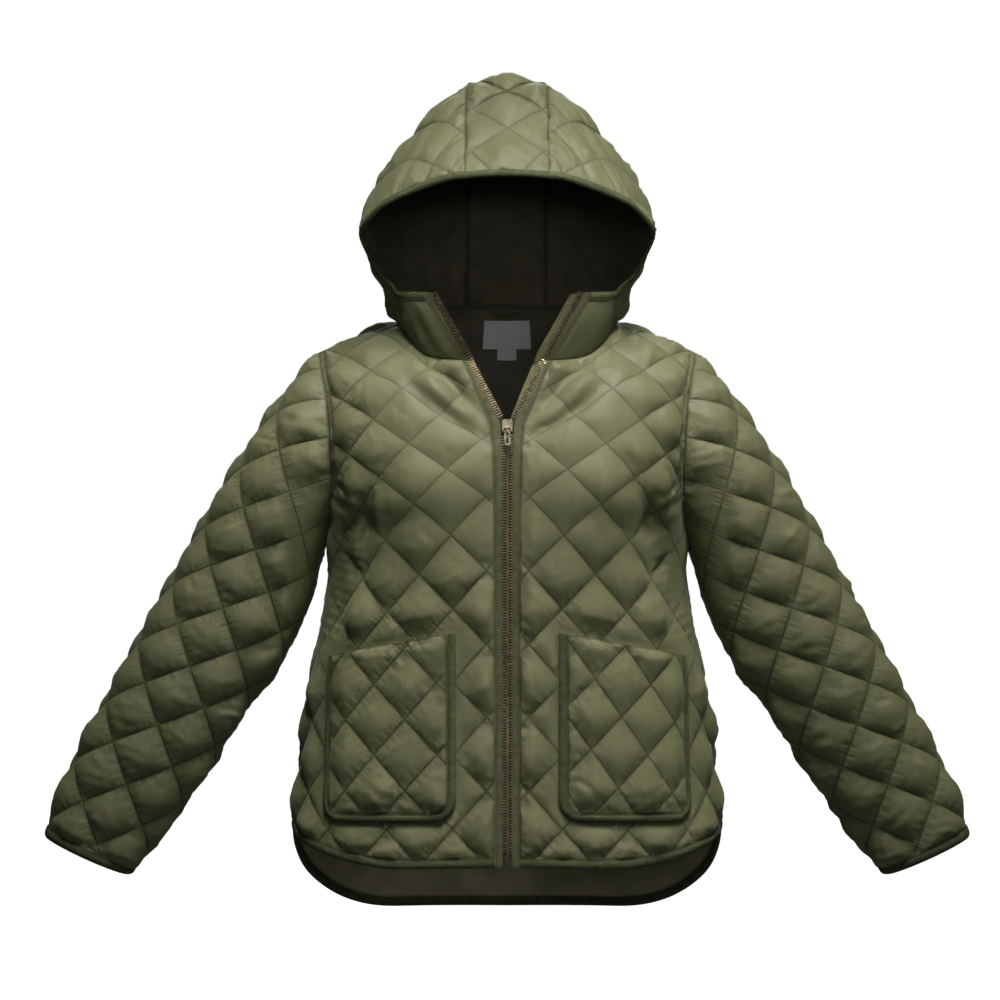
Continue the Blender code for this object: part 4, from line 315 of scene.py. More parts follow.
def unroll(points, faces, pinned, flat_places):
    """Lays a curved sheet flat with as little stretch as cloth has: each face keeps its shape and
    only turns, and the pinned points stay where they are."""
    corner = points[faces]
    first, second = corner[:, 1] - corner[:, 0], corner[:, 2] - corner[:, 0]
    along = unit(first)
    side = unit(np.cross(np.cross(first, second), along))
    shape = np.zeros((len(faces), 3, 2))
    shape[:, 1, 0] = np.linalg.norm(first, axis=1)
    shape[:, 2, 0] = (second * along).sum(1)
    shape[:, 2, 1] = (second * side).sum(1)
    count = len(points)
    matrix = np.zeros((count, count))
    edges = []
    for k in range(3):
        i, j, other = faces[:, k], faces[:, (k + 1) % 3], (k + 2) % 3
        p, q = shape[:, k] - shape[:, other], shape[:, (k + 1) % 3] - shape[:, other]
        weight = (p * q).sum(1) / np.maximum(np.abs(turn_of(p, q)), 1e-9)
        weight = np.clip(weight, 0.02, 20)
        edges.append((i, j, weight, shape[:, k] - shape[:, (k + 1) % 3]))
        np.add.at(matrix, (i, i), weight)
        np.add.at(matrix, (j, j), weight)
        np.add.at(matrix, (i, j), -weight)
        np.add.at(matrix, (j, i), -weight)
    free = ~pinned
    inverse = np.linalg.inv(matrix[np.ix_(free, free)])
    flat = flat_places.copy()
    for _ in range(UNROLL_ROUNDS):
        spin = np.zeros((len(faces), 2, 2))
        for i, j, weight, edge in edges:
            spin += weight[:, None, None] * edge[:, :, None] * (flat[i] - flat[j])[:, None, :]
        angle = np.arctan2(spin[:, 0, 1] - spin[:, 1, 0], spin[:, 0, 0] + spin[:, 1, 1])
        cos, sin = np.cos(angle)[:, None], np.sin(angle)[:, None]
        pull = np.zeros((count, 2))
        for i, j, weight, edge in edges:
            x, y = edge[:, :1], edge[:, 1:]
            turned = np.hstack([cos * x - sin * y, sin * x + cos * y])
            np.add.at(pull, i, weight[:, None] * turned)
            np.add.at(pull, j, -weight[:, None] * turned)
        flat[free] = inverse @ (pull[free] - matrix[np.ix_(free, pinned)] @ flat[pinned])
    return flat


def fold_depth(points):
    """How far the folds of the front press each point in."""
    depth = np.zeros(len(points))
    place = points[:, [0, 2]]
    for fold in FOLDS:
        ends = np.array([[fold.x0, fold.z0], [fold.x1, fold.z1], [fold.x2, fold.z2]], float)
        f = np.linspace(0, 1, 24)[:, None]
        bend = 2 * ends[1] - (ends[0] + ends[2]) / 2
        line = (1 - f) ** 2 * ends[0] + 2 * f * (1 - f) * bend + f * f * ends[2]
        gap = np.linalg.norm(place[:, None] - line[None], axis=2)
        nearest = gap.argmin(1)
        fade = np.sin(math.pi * np.clip(f[nearest, 0] * 0.9 + 0.05, 0, 1)) ** 0.6
        depth += fold.depth * fade * np.exp(-((gap.min(1) / fold.width) ** 2))
    return depth


class Patch:
    """A piece of the jacket's surface, on the +X side: s runs from its inner edge (0) to its outer
    edge (1) and t from its first section (0) to its last (1). It knows its own flat cut."""

    def __init__(self, rows, inside, paced_by=None, corners=(), pinned_from=0, folded=False, grid=(13, 31)):
        self.rows = np.array(rows, float)
        pace = self.rows if paced_by is None else self.rows[:, paced_by][:, None]
        steps = np.linalg.norm(np.diff(pace, axis=0), axis=2).mean(axis=1)
        self.knots = np.concatenate([[0.0], np.cumsum(steps)]) / steps.sum()
        self.slopes = slopes_of(self.knots, self.rows, corners)
        self.folded = folded
        self.facing = 1.0
        middle, normal = self.spot(np.array([0.5]), np.array([0.6]))
        if (normal * (middle - np.array(inside, float))).sum() < 0:
            self.facing = -1.0
        self.lay(grid, self.knots[pinned_from])

    def plain(self, s, t):
        """The smooth surface, before any fold is pressed into it."""
        across = spline(self.knots, self.rows, t, self.slopes)
        slopes = np.gradient(across, axis=1, edge_order=2)
        x = s * (COLUMNS - 1)
        i = np.clip(x.astype(int), 0, COLUMNS - 2)
        n = np.arange(len(s))
        return hermite(across[n, i], across[n, i + 1], slopes[n, i], slopes[n, i + 1], (x - i)[:, None])

    def turned(self, surface, s, t):
        """The directions out of a surface, which is given as a function of s and t."""
        (s0, s1), (t0, t1) = beside(s, 0.004), beside(t, 0.004)
        across, down = surface(s1, t) - surface(s0, t), surface(s, t1) - surface(s, t0)
        return self.facing * unit(np.cross(across, down))

    def at(self, s, t):
        points = self.plain(s, t)
        if self.folded:
            points = points - self.turned(self.plain, s, t) * fold_depth(points)[:, None]
        return points

    def spot(self, s, t):
        """Points of the surface and the directions out of it."""
        return self.at(s, t), self.turned(self.at, s, t)

    def lay(self, grid, pinned_from):
        """Lays a grid of the surface flat, with its inner edge straight from one t on."""
        self.grid = grid
        across, down = grid
        s, t = np.meshgrid(np.linspace(0, 1, across), np.linspace(0, 1, down))
        pinned_row = int(np.ceil(pinned_from * (down - 1) - 1e-9))
        t[pinned_row] = t[pinned_row] if pinned_from == 0 else pinned_from
        self.grid_t = t[:, 0].copy()
        points = self.at(s.ravel(), t.ravel())
        square = points.reshape(down, across, 3)
        pinned = np.zeros((down, across), bool)
        pinned[pinned_row:, 0] = True
        places = np.zeros((down, across, 2))
        steps = np.linalg.norm(np.diff(square, axis=1), axis=2)
        places[:, 1:, 0] = np.cumsum(steps, axis=1)
        places[:pinned_row, :, 0] += square[:pinned_row, :1, 0]
        run = lengths_along(square[:, 0])
        places[:, :, 1] = (run - run[pinned_row])[:, None]
        index = np.arange(down * across).reshape(down, across)
        corners = (index[:-1, :-1], index[:-1, 1:], index[1:, 1:], index[1:, :-1])
        a, b, c, d = (corner.ravel() for corner in corners)
        faces = np.vstack([np.column_stack([a, b, c]), np.column_stack([a, c, d])])
        flat = unroll(points, faces, pinned.ravel(), places.reshape(-1, 2))
        self.flat = flat.reshape(down, across, 2)

    def cut(self, s, t):
        """Where places of the surface lie in the flat cut."""
        across = self.grid[0]
        x = np.clip(s, 0, 1) * (across - 1)
        y = np.interp(t, self.grid_t, np.arange(len(self.grid_t)))
        i, j = np.clip(x.astype(int), 0, across - 2), np.clip(y.astype(int), 0, len(self.grid_t) - 2)
        fx, fy = (x - i)[:, None], (y - j)[:, None]
        flat = self.flat
        upper = flat[j, i] * (1 - fx) + flat[j, i + 1] * fx
        lower = flat[j + 1, i] * (1 - fx) + flat[j + 1, i + 1] * fx
        return upper * (1 - fy) + lower * fy

    def find(self, places):
        """The s and t of places in the flat cut."""
        across = self.grid[0]
        near = np.zeros(len(places), int)
        grid = self.flat.reshape(-1, 2)
        for start in range(0, len(places), 2000):
            block = places[start : start + 2000]
            near[start : start + 2000] = ((block[:, None] - grid[None]) ** 2).sum(2).argmin(1)
        s = (near % across) / (across - 1)
        t = self.grid_t[near // across]
        for _ in range(SEARCH_ROUNDS):
            miss = places - self.cut(s, t)
            (s0, s1), (t0, t1) = beside(s, 0.003), beside(t, 0.003)
            by_s = (self.cut(s1, t) - self.cut(s0, t)) / (s1 - s0)[:, None]
            by_t = (self.cut(s, t1) - self.cut(s, t0)) / (t1 - t0)[:, None]
            area = turn_of(by_s, by_t)
            area = np.where(np.abs(area) < 1e-6, 1e-6, area)
            s = np.clip(s + STRIDE * turn_of(miss, by_t) / area, 0, 1)
            t = np.clip(t + STRIDE * turn_of(by_s, miss) / area, 0, 1)
        return s, t

    def t_at_height(self, s, height):
        """The t where a line of constant s passes a height."""
        t = np.linspace(0.15, 1, 400)
        z = self.at(np.full(400, float(s)), t)[:, 2]
        return float(np.interp(-height, -z, t))

    def line(self, s_from, t_from, s_to, t_to, count):
        """count + 1 points evenly along a straight line of s and t, as an Edge."""
        f = np.linspace(0, 1, FINE)
        s, t = s_from + (s_to - s_from) * f, t_from + (t_to - t_from) * f
        along = lengths_along(self.at(s, t))
        f = np.interp(np.linspace(0, along[-1], count + 1), along, f)
        s, t = s_from + (s_to - s_from) * f, t_from + (t_to - t_from) * f
        return Edge(self.cut(s, t), self.at(s, t))

    def length(self, s, t_from, t_to):
        f = np.linspace(0, 1, 100)
        return lengths_along(self.at(np.full(100, float(s)), t_from + (t_to - t_from) * f))[-1]

    def edge(self, s, t_from, t_to):
        """A line of constant s as an Edge, with points about SAMPLE apart."""
        return self.line(s, t_from, s, t_to, steps_for(self.length(s, t_from, t_to)))


class Cloth:
    """One flat cut. Its +U side lies on one patch and its -U side on another, or on the mirror image
    of the same one. side is -1 for the pieces of the wearer's right."""

    def __init__(self, right, left=None, side=1):
        self.right, self.left, self.side = right, left, side

    def spot(self, places):
        places = np.asarray(places, float)
        u = places[:, 0]
        points, normals = np.zeros((len(u), 3)), np.zeros((len(u), 3))
        for patch, sign in ((self.right, 1), (self.left, -1)):
            here = u >= -1e-9 if sign == 1 else u < 1e-9
            if patch is None or not here.any():
                continue
            mirrored = sign == -1 and self.left is self.right
            s, t = patch.find(places[here] * [sign, 1])
            p, n = patch.spot(s, t)
            if mirrored:
                p, n = p * [-1, 1, 1], n * [-1, 1, 1]
            points[here] = p
            normals[here] += n
        return points * [self.side, 1, 1], unit(normals) * [self.side, 1, 1]


# A diamond's size, one crossing, how far the columns lean and the rows tilt, and how close together
# the rows above the crossing are
Lattice = namedtuple("Lattice", "wide tall u v lean tilt tight", defaults=(0.0, 0.0, 1.0))


def lattice_ab(lattice, places):
    """Counts of stitch lines crossed: both numbers are whole where two lines cross."""
    u, v = places[:, 0] - lattice.u, places[:, 1] - lattice.v
    across, down = u - lattice.lean * v, v - lattice.tilt * u
    down = np.where(down < 0, down / lattice.tight, down)
    x, y = across / lattice.wide, down / lattice.tall
    return x + y, x - y


def lattice_place(lattice, a, b):
    across, down = (a + b) / 2 * lattice.wide, (a - b) / 2 * lattice.tall
    down = np.where(down < 0, down * lattice.tight, down)
    v = (down + lattice.tilt * across) / (1 - lattice.tilt * lattice.lean)
    return np.column_stack([lattice.u + across + lattice.lean * v, lattice.v + v])


def inside(outline, places):
    """Which of the places lie inside an outline."""
    x, y = places[:, 0][:, None], places[:, 1][:, None]
    x0, y0 = outline[:, 0], outline[:, 1]
    x1, y1 = np.roll(x0, -1), np.roll(y0, -1)
    crosses = (y0 > y) != (y1 > y)
    rise = np.where(y1 == y0, 1e-12, y1 - y0)
    return ((crosses & (x < (x1 - x0) * (y - y0) / rise + x0)).sum(1) % 2).astype(bool)


def near_line(line, places):
    """The distance to an open line and how far along it is, from 0 to 1."""
    best, where = np.full(len(places), 1e9), np.zeros(len(places))
    along = lengths_along(line)
    for k, (a, b) in enumerate(zip(line[:-1], line[1:])):
        d = b - a
        f = np.clip(((places - a) @ d) / max(d @ d, 1e-9), 0, 1)
        gap = np.linalg.norm(places - a - f[:, None] * d, axis=1)
        nearer = gap < best
        best = np.where(nearer, gap, best)
        where = np.where(nearer, (along[k] + f * (along[k + 1] - along[k])) / along[-1], where)
    return best, where


def near_lines(lines, places):
    """The distance from places to the nearest of some open lines."""
    return np.min([near_line(line, places)[0] for line in lines], axis=0)


def from_outline(outline, places):
    """The distance from each place to the nearest edge of an outline."""
    return near_line(np.vstack([outline, outline[:1]]), places)[0]


# ---- the jacket's seams ---------------------------------------------------------------------------
def mirrored(edge):
    return Edge(edge.places[::-1] * [-1, 1], edge.points[::-1] * [-1, 1, 1])


def mirrored_places(edge):
    """An edge of a sleeve's back half, whose places are counted the other way."""
    return Edge(edge.places[::-1] * [-1, 1], edge.points[::-1])


def reverse(edge):
    return Edge(edge.places[::-1], edge.points[::-1])


def steps_for(length):
    return max(1, round(length / SAMPLE))


def share_nearest(patch, s, t_from, t_to, target):
    """The t between two others where a line of constant s passes nearest to a point."""
    t = np.linspace(t_from, t_to, 400)
    gap = np.linalg.norm(patch.at(np.full(400, float(s)), t) - np.array(target, float), axis=1)
    return float(t[gap.argmin()])


def rise(u, flat, reach, power):
    """The share of a hem's rise at a distance from the centre, along the cloth."""
    return np.clip((u - flat) / (reach - flat), 0, 1) ** power


class Jacket:
    """The patches, and the seams that their pieces share, on the +X side."""

    def __init__(self):
        front_rows = [smoothed(row) for row in FRONT_TOP]
        back_rows = [smoothed(row) for row in BACK_TOP]
        for hoop in HOOPS:
            wide, height = hoop.half_width, hoop.height
            level = FIRST_HOOP_RISE if hoop is HOOPS[0] else 0.0
            front_rows.append(hoop_points(wide, -hoop.front_depth, height + level, height))
            back_rows.append(hoop_points(wide, hoop.back_depth, height + 2 * level, height))
        body = (0, 0, -330)
        head = (0, *HOOD_MIDDLE)
        arm = (SLEEVE[5].top_x - 60, SLEEVE[5].middle_y, SLEEVE[5].top_z - 40)
        corners = (FRONT_NECK_ROWS, SLIDER_ROW)
        self.front = Patch(front_rows, body, corners=corners, pinned_from=FRONT_NECK_ROWS, folded=True)
        self.back = Patch(back_rows, body, corners=(BACK_NECK_ROWS,), pinned_from=BACK_NECK_ROWS)
        self.sleeve_front = Patch([cross_points(c, True) for c in SLEEVE], arm, paced_by=3)
        self.sleeve_back = Patch([cross_points(c, False) for c in SLEEVE], arm, paced_by=3)
        self.hood = Patch([smoothed(row) for row in HOOD_SIDE], head, paced_by=0)
        self.strip = Patch(self.strip_rows(), head, paced_by=COLUMNS - 1)
        # where on the seams the pieces meet
        front, back = self.front, self.back
        self.t_collar = front.knots[FRONT_NECK_ROWS]
        self.t_neck_front = share_nearest(front, 0, 0, self.t_collar, COLLAR[0].outer)
        neck = front.at(np.zeros(100), np.linspace(self.t_collar, self.t_neck_front, 100))
        rows = [resample(neck, COLUMNS - 1)] + [smoothed(row) for row in COLLAR[1:]]
        self.collar = Patch(rows, (40, 0, 0), grid=(13, 13))
        self.t_zip = share_nearest(front, 0, 0, self.t_collar, front.at(*self.off_zip())[0])
        self.t_back_centre = back.knots[BACK_NECK_ROWS]
        self.t_neck_back = share_nearest(back, 0, 0, self.t_back_centre, HOOD_SIDE[-1].inner)
        self.t_arm_front = share_nearest(front, 1, 0.1, 0.6, UNDERARM)
        self.t_arm_back = share_nearest(back, 1, 0.1, 0.6, UNDERARM)

    def off_zip(self):
        """The place on the neck seam at TAPE_REACH from the zip's line."""
        t = np.linspace(0, self.front.knots[FRONT_NECK_ROWS], 400)
        u = self.front.cut(np.zeros(400), t)[:, 0]
        return np.zeros(1), np.array([t[np.abs(u - TAPE_REACH).argmin()]])

    def strip_rows(self):
        """Half of the centre strip, over the seams of the hood's sides."""
        seam = np.array([row.inner for row in HOOD_SIDE], float)
        along = np.gradient(seam[:, 1:], axis=0)
        out = unit(np.column_stack([-along[:, 1], along[:, 0]]))
        out *= np.sign((out * (seam[:, 1:] - HOOD_MIDDLE)).sum(1))[:, None]
        f = np.linspace(0, 1, COLUMNS)
        rows = []
        for k, point in enumerate(seam):
            lift = STRIP_RISE * (1 - f * f) * (1 if 0 < k < len(seam) - 1 else 0.8)
            y, z = (point[axis] + lift * out[k, axis - 1] for axis in (1, 2))
            rows.append(np.column_stack([f * point[0], y, z]))
        return rows

    def v_at_height(self, patch, height):
        """The place down a patch's inner edge at a height, in its flat cut."""
        return patch.cut(np.zeros(1), np.array([patch.t_at_height(0, height)]))[0, 1]

    def side_end(self, patch, t_arm):
        """The t where the side seam ends, a little above the hem's tip."""
        tip = patch.t_at_height(1, HEM_SIDE)
        return tip - (tip - t_arm) * SIDE_SHORT / patch.length(1, t_arm, tip)

    def edges_of_front(self):
        f = self.front
        neck_zip = f.line(0, self.t_zip, 0, self.t_neck_front, steps_for(NECK_ZIP_LONG))
        side = f.edge(1, self.t_arm_front, self.side_end(f, self.t_arm_front))
        hem_shape = (HEM_FRONT, HEM_FRONT_FLAT, HEM_FRONT_CURVE)
        self.front_hem = self.hem(f, *hem_shape, TAPE_REACH, side.places[-1])
        hem = self.front_hem[0][::-1]
        self.zip_v = np.linspace(neck_zip.places[0, 1], hem[-1, 1], SAMPLES_ZIP + 1)
        zip_line = np.column_stack([np.full(SAMPLES_ZIP + 1, TAPE_REACH), self.zip_v[::-1]])
        return {
            "neck_zip": neck_zip,
            "neck_hood": f.line(0, self.t_neck_front, 0, 0, NECK_FRONT_STEPS),
            "shoulder": f.line(0, 0, 1, 0, SHOULDER_STEPS),
            "arm": f.edge(1, 0, self.t_arm_front),
            "side": side,
            "hem": self.starting(self.free(f, hem), side),
            "zip": self.free(f, zip_line),
        }

    def starting(self, edge, before):
        """An edge whose first point is the last one of the edge before it."""
        edge.points[0] = before.points[-1]
        return edge

    def free(self, patch, places, left=None):
        """An edge that no other piece shares."""
        return Edge(places, Cloth(patch, left).spot(places)[0])

    def hem(self, patch, low, flat, power, start, end):
        """The hem as pairs of places: the edge of the cloth's wall, and the edge of its binding."""
        v_low = self.v_at_height(patch, low)
        tip = patch.cut(np.ones(1), np.array([patch.t_at_height(1, HEM_SIDE)]))[0]
        u = np.linspace(start, tip[0], steps_for(tip[0] - start) + 1)
        v = v_low - (v_low - tip[1]) * rise(u, flat, tip[0], power)
        outer = np.column_stack([u, v])
        inner = np.column_stack([u, v - (BINDING + SEAM_GAP) * np.sqrt(1 + np.gradient(v, u) ** 2)])
        inner[-1] = end
        return inner, outer

    def edges_of_back(self, front):
        b = self.back
        shoulder = b.line(0, 0, 1, 0, SHOULDER_STEPS)
        arm = b.edge(1, 0, self.t_arm_back)
        arm.points[0], arm.points[-1] = front["arm"].points[0], front["arm"].points[-1]
        end = self.side_end(b, self.t_arm_back)
        side = b.line(1, self.t_arm_back, 1, end, len(front["side"].places) - 1)
        hem_shape = (HEM_BACK, HEM_BACK_FLAT, HEM_BACK_CURVE)
        self.back_hem = self.hem(b, *hem_shape, 0.0, side.places[-1])
        return {
            "neck_hood": b.line(0, 0, 0, self.t_neck_back, NECK_BACK_STEPS),
            "neck_strip": b.line(0, self.t_neck_back, 0, self.t_back_centre, STRIP_STEPS),
            "shoulder": Edge(shoulder.places, front["shoulder"].points),
            "arm": arm,
            "side": Edge(side.places, front["side"].points),
            "hem": self.starting(self.free(b, self.back_hem[0][::-1], b), front["side"]),
        }

    def pinned_at(self, patch, s, t_from, t_to, distance):
        """The t on a line of constant s at a distance from t_from, towards t_to."""
        t = np.linspace(t_from, t_to, 400)
        return float(np.interp(distance, lengths_along(patch.at(np.full(400, float(s)), t)), t))

    def edges_of_sleeve(self, front, back):
        """Half a sleeve towards the front, then half towards the back, each from the top line."""
        halves = []
        t_end = self.pinned_at(self.sleeve_front, 0.5, 1, 0, BINDING + SEAM_GAP)
        self.t_cuff = t_end
        for patch, arm in ((self.sleeve_front, front["arm"]), (self.sleeve_back, back["arm"])):
            cap = patch.line(0, 0, 1, 0, len(arm.places) - 1)
            low = patch.line(1, 0, 1, t_end, steps_for(SLEEVE_SEAM_LONG))
            cuff = patch.line(1, t_end, 0, t_end, CUFF_STEPS)
            halves.append((Edge(cap.places, arm.points), low, cuff))
        low = (halves[0][1].points + halves[1][1].points) / 2
        low[0] = front["arm"].points[-1]
        return [(cap, Edge(under.places, low), cuff) for cap, under, cuff in halves]

    def edges_of_hood(self, front, back):
        h, s = self.hood, self.strip
        bound = FACE_BINDING + SEAM_GAP
        t_corner = h.knots[FACE_ROWS - 1]
        collar_top = self.pinned_at(h, 1, t_corner, 1, bound)
        seam_steps = steps_for(HOOD_SEAM_LONG)
        seam = h.line(0, self.pinned_at(h, 0, 0, 1, bound), 0, 1, seam_steps)
        neck = h.line(0, 1, 1, 1, NECK_FRONT_STEPS + NECK_BACK_STEPS)
        neck_points = np.vstack([back["neck_hood"].points[::-1][:-1], front["neck_hood"].points[::-1]])
        collar = h.line(1, 1, 1, collar_top, COLLAR_END_STEPS)
        collar = self.starting(collar, front["neck_zip"])
        seam.points[-1] = back["neck_hood"].points[-1]
        outer = h.line(1, t_corner, 1, 0, steps_for(h.length(1, 0, t_corner))).places
        side = np.gradient(outer, axis=0)
        side = unit(np.column_stack([-side[:, 1], side[:, 0]]))
        inner = outer + side * bound * np.sign((side * (FACE_MIDDLE - outer)).sum(1))[:, None]
        inner[0], inner[-1] = collar.places[-1], seam.places[0]
        self.face_pairs = (inner, outer)
        start = self.pinned_at(s, 1, 0, 1, bound)
        self.strip_start = start
        strip_face = s.line(0, start, 1, start, STRIP_STEPS)
        strip_seam, strip_neck = s.line(1, start, 1, 1, seam_steps), s.line(1, 1, 0, 1, STRIP_STEPS)
        strip_face.points[-1] = seam.points[0]
        return {
            "seam": seam,
            "neck": Edge(neck.places, neck_points),
            "collar": collar,
            "face": self.starting(self.free(h, inner), collar),
            "strip_seam": Edge(strip_seam.places, seam.points),
            "strip_neck": Edge(strip_neck.places, back["neck_strip"].points),
            "strip_face": strip_face,
        }

    def edges_of_collar(self, front, hood):
        c = self.collar
        share = np.linspace(0, 1, FINE)
        gap = np.linalg.norm(c.at(share, np.zeros(FINE)) - front["neck_zip"].points[0], axis=1)
        neck = c.line(share[gap.argmin()], 0, 1, 0, len(front["neck_zip"].places) - 1)
        self.neck_u = neck.places[0, 0]
        bound = FACE_BINDING + SEAM_GAP
        top_t = self.pinned_at(c, 1, 1, 0, bound)
        side = c.line(1, 0, 1, top_t, COLLAR_END_STEPS)
        top = c.line(1, 1, 0, 1, COLLAR_STEPS)
        v_top = self.pinned_at(c, 0, 1, 0, bound)
        inner = c.line(1, top_t, 0, v_top, COLLAR_STEPS)
        ends, top_end = (self.at_u(line.places, TAPE_REACH) for line in (inner, top))
        kept = sum(inner.places[:, 0] > TAPE_REACH + 2)
        inner_places = np.vstack([inner.places[:kept], ends])
        self.collar_pairs = (inner_places, np.vstack([top.places[:kept], top_end]))
        for line in self.collar_pairs:
            line[-1, 0] += 2 * SEAM_GAP
        zip_line = np.linspace(ends, neck.places[0], COLLAR_ZIP_POINTS)
        return [
            Edge(neck.places, front["neck_zip"].points),
            Edge(side.places, hood["collar"].points),
            self.starting(self.free(c, inner_places), hood["collar"]),
            self.free(c, zip_line),
        ]

    def at_u(self, line, u):
        """The place on a line of places, of falling U, at one U."""
        share = np.interp(-u, -line[:, 0], np.arange(len(line)))
        return np.array([np.interp(share, np.arange(len(line)), line[:, k]) for k in range(2)])


# ---- strips --------------------------------------------------------------------------------------
Run = namedtuple("Run", "points normals")  # lines of points across a strip, in order, each (n, 3)


def run_of_lines(cloth, lines):
    found = [cloth.spot(line) for line in lines]
    return Run(np.array([p for p, _ in found]), np.array([n for _, n in found]))


def run_of(cloth, inner, outer, lines=5):
    """The lines of a strip between two lines of places; the inner one keeps clear of the seam."""
    way, along = unit(outer - inner), unit(np.gradient(inner, axis=0))
    square = np.abs(way[:, :1] * along[:, 1:] - way[:, 1:] * along[:, :1])
    inner = inner + way * BOUND_GAP / np.maximum(square, 0.35)
    return run_of_lines(cloth, [inner * (1 - f) + outer * f for f in np.linspace(0, 1, lines)])


def joined_runs(runs):
    """Runs end to end; where two meet, the point is the mean of both."""
    points, normals = runs[0]
    for more in runs[1:]:
        meet = (points[:, -1:] + more.points[:, :1]) / 2
        out = unit(normals[:, -1:] + more.normals[:, :1])
        points = np.concatenate([points[:, :-1], meet, more.points[:, 1:]], axis=1)
        normals = np.concatenate([normals[:, :-1], out, more.normals[:, 1:]], axis=1)
    return Run(points, normals)


def flipped(run):
    """A run whose lines go the other way."""
    return Run(run.points[:, ::-1], run.normals[:, ::-1])


def sided(run, side):
    """A run of the +X side, on the side asked for: 1 or -1."""
    turn = np.array([side, 1, 1])
    return Run(run.points * turn, run.normals * turn)


def across_middle(run):
    """A run that ends at x = 0, followed by its mirror image."""
    return joined_runs([run, flipped(sided(run, -1))])


def cuff_run(jacket):
    """The binding's lines about a cuff, over the sleeve's front half and back over its other half."""
    j = jacket
    start = j.t_cuff + (1 - j.t_cuff) * SEAM_GAP / BINDING
    lines, ways = [], []
    for t in np.linspace(start, 1, 5):
        points, normals = [], []
        for patch, turn in ((j.sleeve_front, 1), (j.sleeve_back, -1)):
            share = np.linspace(0, 1, FINE)
            along = lengths_along(patch.at(share, np.full(FINE, t)))
            ends = (0, along[-1])[::turn]
            s = np.interp(np.linspace(*ends, CUFF_STEPS + 1)[:-1], along, share)
            p, n = patch.spot(s, np.full(CUFF_STEPS, t))
            points.append(p)
            normals.append(n)
        lines.append(np.vstack(points))
        ways.append(np.vstack(normals))
    return Run(np.array(lines), np.array(ways))


def hood_run(jacket):
    """The binding's lines from the collar's zip edge, by the face, to the middle of the hood."""
    j = jacket
    collar = flipped(run_of(Cloth(j.collar), *j.collar_pairs))
    face = run_of(Cloth(j.hood), *j.face_pairs)
    s = np.linspace(1, 0, 9)
    start = j.strip.cut(s, np.full(9, j.strip_start))
    strip = run_of(Cloth(j.strip), start, j.strip.cut(s, np.zeros(9)))
    return joined_runs([collar, face, strip])


def pocket_path(jacket, inset):
    """The bound edge of a pocket in the front's cut: down its inner side, round, and up the other."""
    top, bottom = (jacket.v_at_height(jacket.front, z) for z in (POCKET_TOP, POCKET_BOTTOM))
    left, right = POCKET_INNER + inset, POCKET_INNER + POCKET_WIDE - inset
    turn = bottom - POCKET_CORNER

    def top_at(u):
        return top + (u - POCKET_INNER) / POCKET_WIDE * POCKET_DROP

    def arc(centre, first, last):
        angle = np.radians(np.linspace(first, last, 10))
        radius = POCKET_CORNER - inset
        return np.column_stack([centre + radius * np.cos(angle), turn + radius * np.sin(angle)])

    inner_side = np.column_stack([np.full(31, left), np.linspace(top_at(left), turn, 31)])[:-1]
    outer_side = np.column_stack([np.full(31, right), np.linspace(turn, top_at(right), 31)])[1:]
    centres = (POCKET_INNER + POCKET_CORNER, POCKET_INNER + POCKET_WIDE - POCKET_CORNER)
    corners = [arc(centres[0], 180, 90), arc(centres[1], 90, 0)]
    between = np.linspace(corners[0][-1], corners[1][0], 19)[1:-1]
    return np.vstack([inner_side, corners[0], between, corners[1], outer_side])


def zip_run(jacket, from_u, to_u, top_height, low_height):
    """Lines of points down the zip between two distances from its line, on the +X side. With no
    top height they start at the collar's top edge."""
    j = jacket
    v_low = j.v_at_height(j.front, low_height)
    if top_height is not None:
        v_top = j.v_at_height(j.front, top_height)
        return run_of_lines(Cloth(j.front), [down_line(u, v_top, v_low) for u in (from_u, to_u)])
    share = np.linspace(0, 1, FINE)
    neck_front = j.front.cut(np.zeros(FINE), share * j.t_collar)[::-1]
    neck, top = (j.collar.cut(share, np.full(FINE, t)) for t in (0.0, 1.0))
    low_run, high_run = [], []
    for u in (from_u, to_u):
        v = np.concatenate([j.zip_v[j.zip_v < v_low - 2.0], [v_low]])
        v[0] = np.interp(u, *neck_front.T)
        low_run.append(np.column_stack([np.full(len(v), u), v]))
        bottom = np.array([u * j.neck_u / TAPE_REACH, 0])
        bottom[1] = np.interp(bottom[0], *neck.T)
        high_run.append(np.linspace([u, np.interp(u, *top.T)], bottom, COLLAR_ZIP_POINTS))
    return joined_runs([run_of_lines(Cloth(j.collar), high_run), run_of_lines(Cloth(j.front), low_run)])


def down_line(u, v_from, v_to):
    """Places down a line of constant u."""
    v = np.linspace(v_from, v_to, max(2, round((v_to - v_from) / SAMPLE)) + 1)
    return np.column_stack([np.full(len(v), u), v])


def facing_run(run):
    """The facing behind the left half of the open zip, which shows beyond the teeth."""
    edge, back = run.points
    share = np.clip((edge[:, 2] - SLIDER_TOP) / FACING_TAPER, 0, 1)[:, None]
    shown = edge + unit(edge - back) * FACING_SHOWS * share
    return Run(np.array([shown, back]), run.normals)


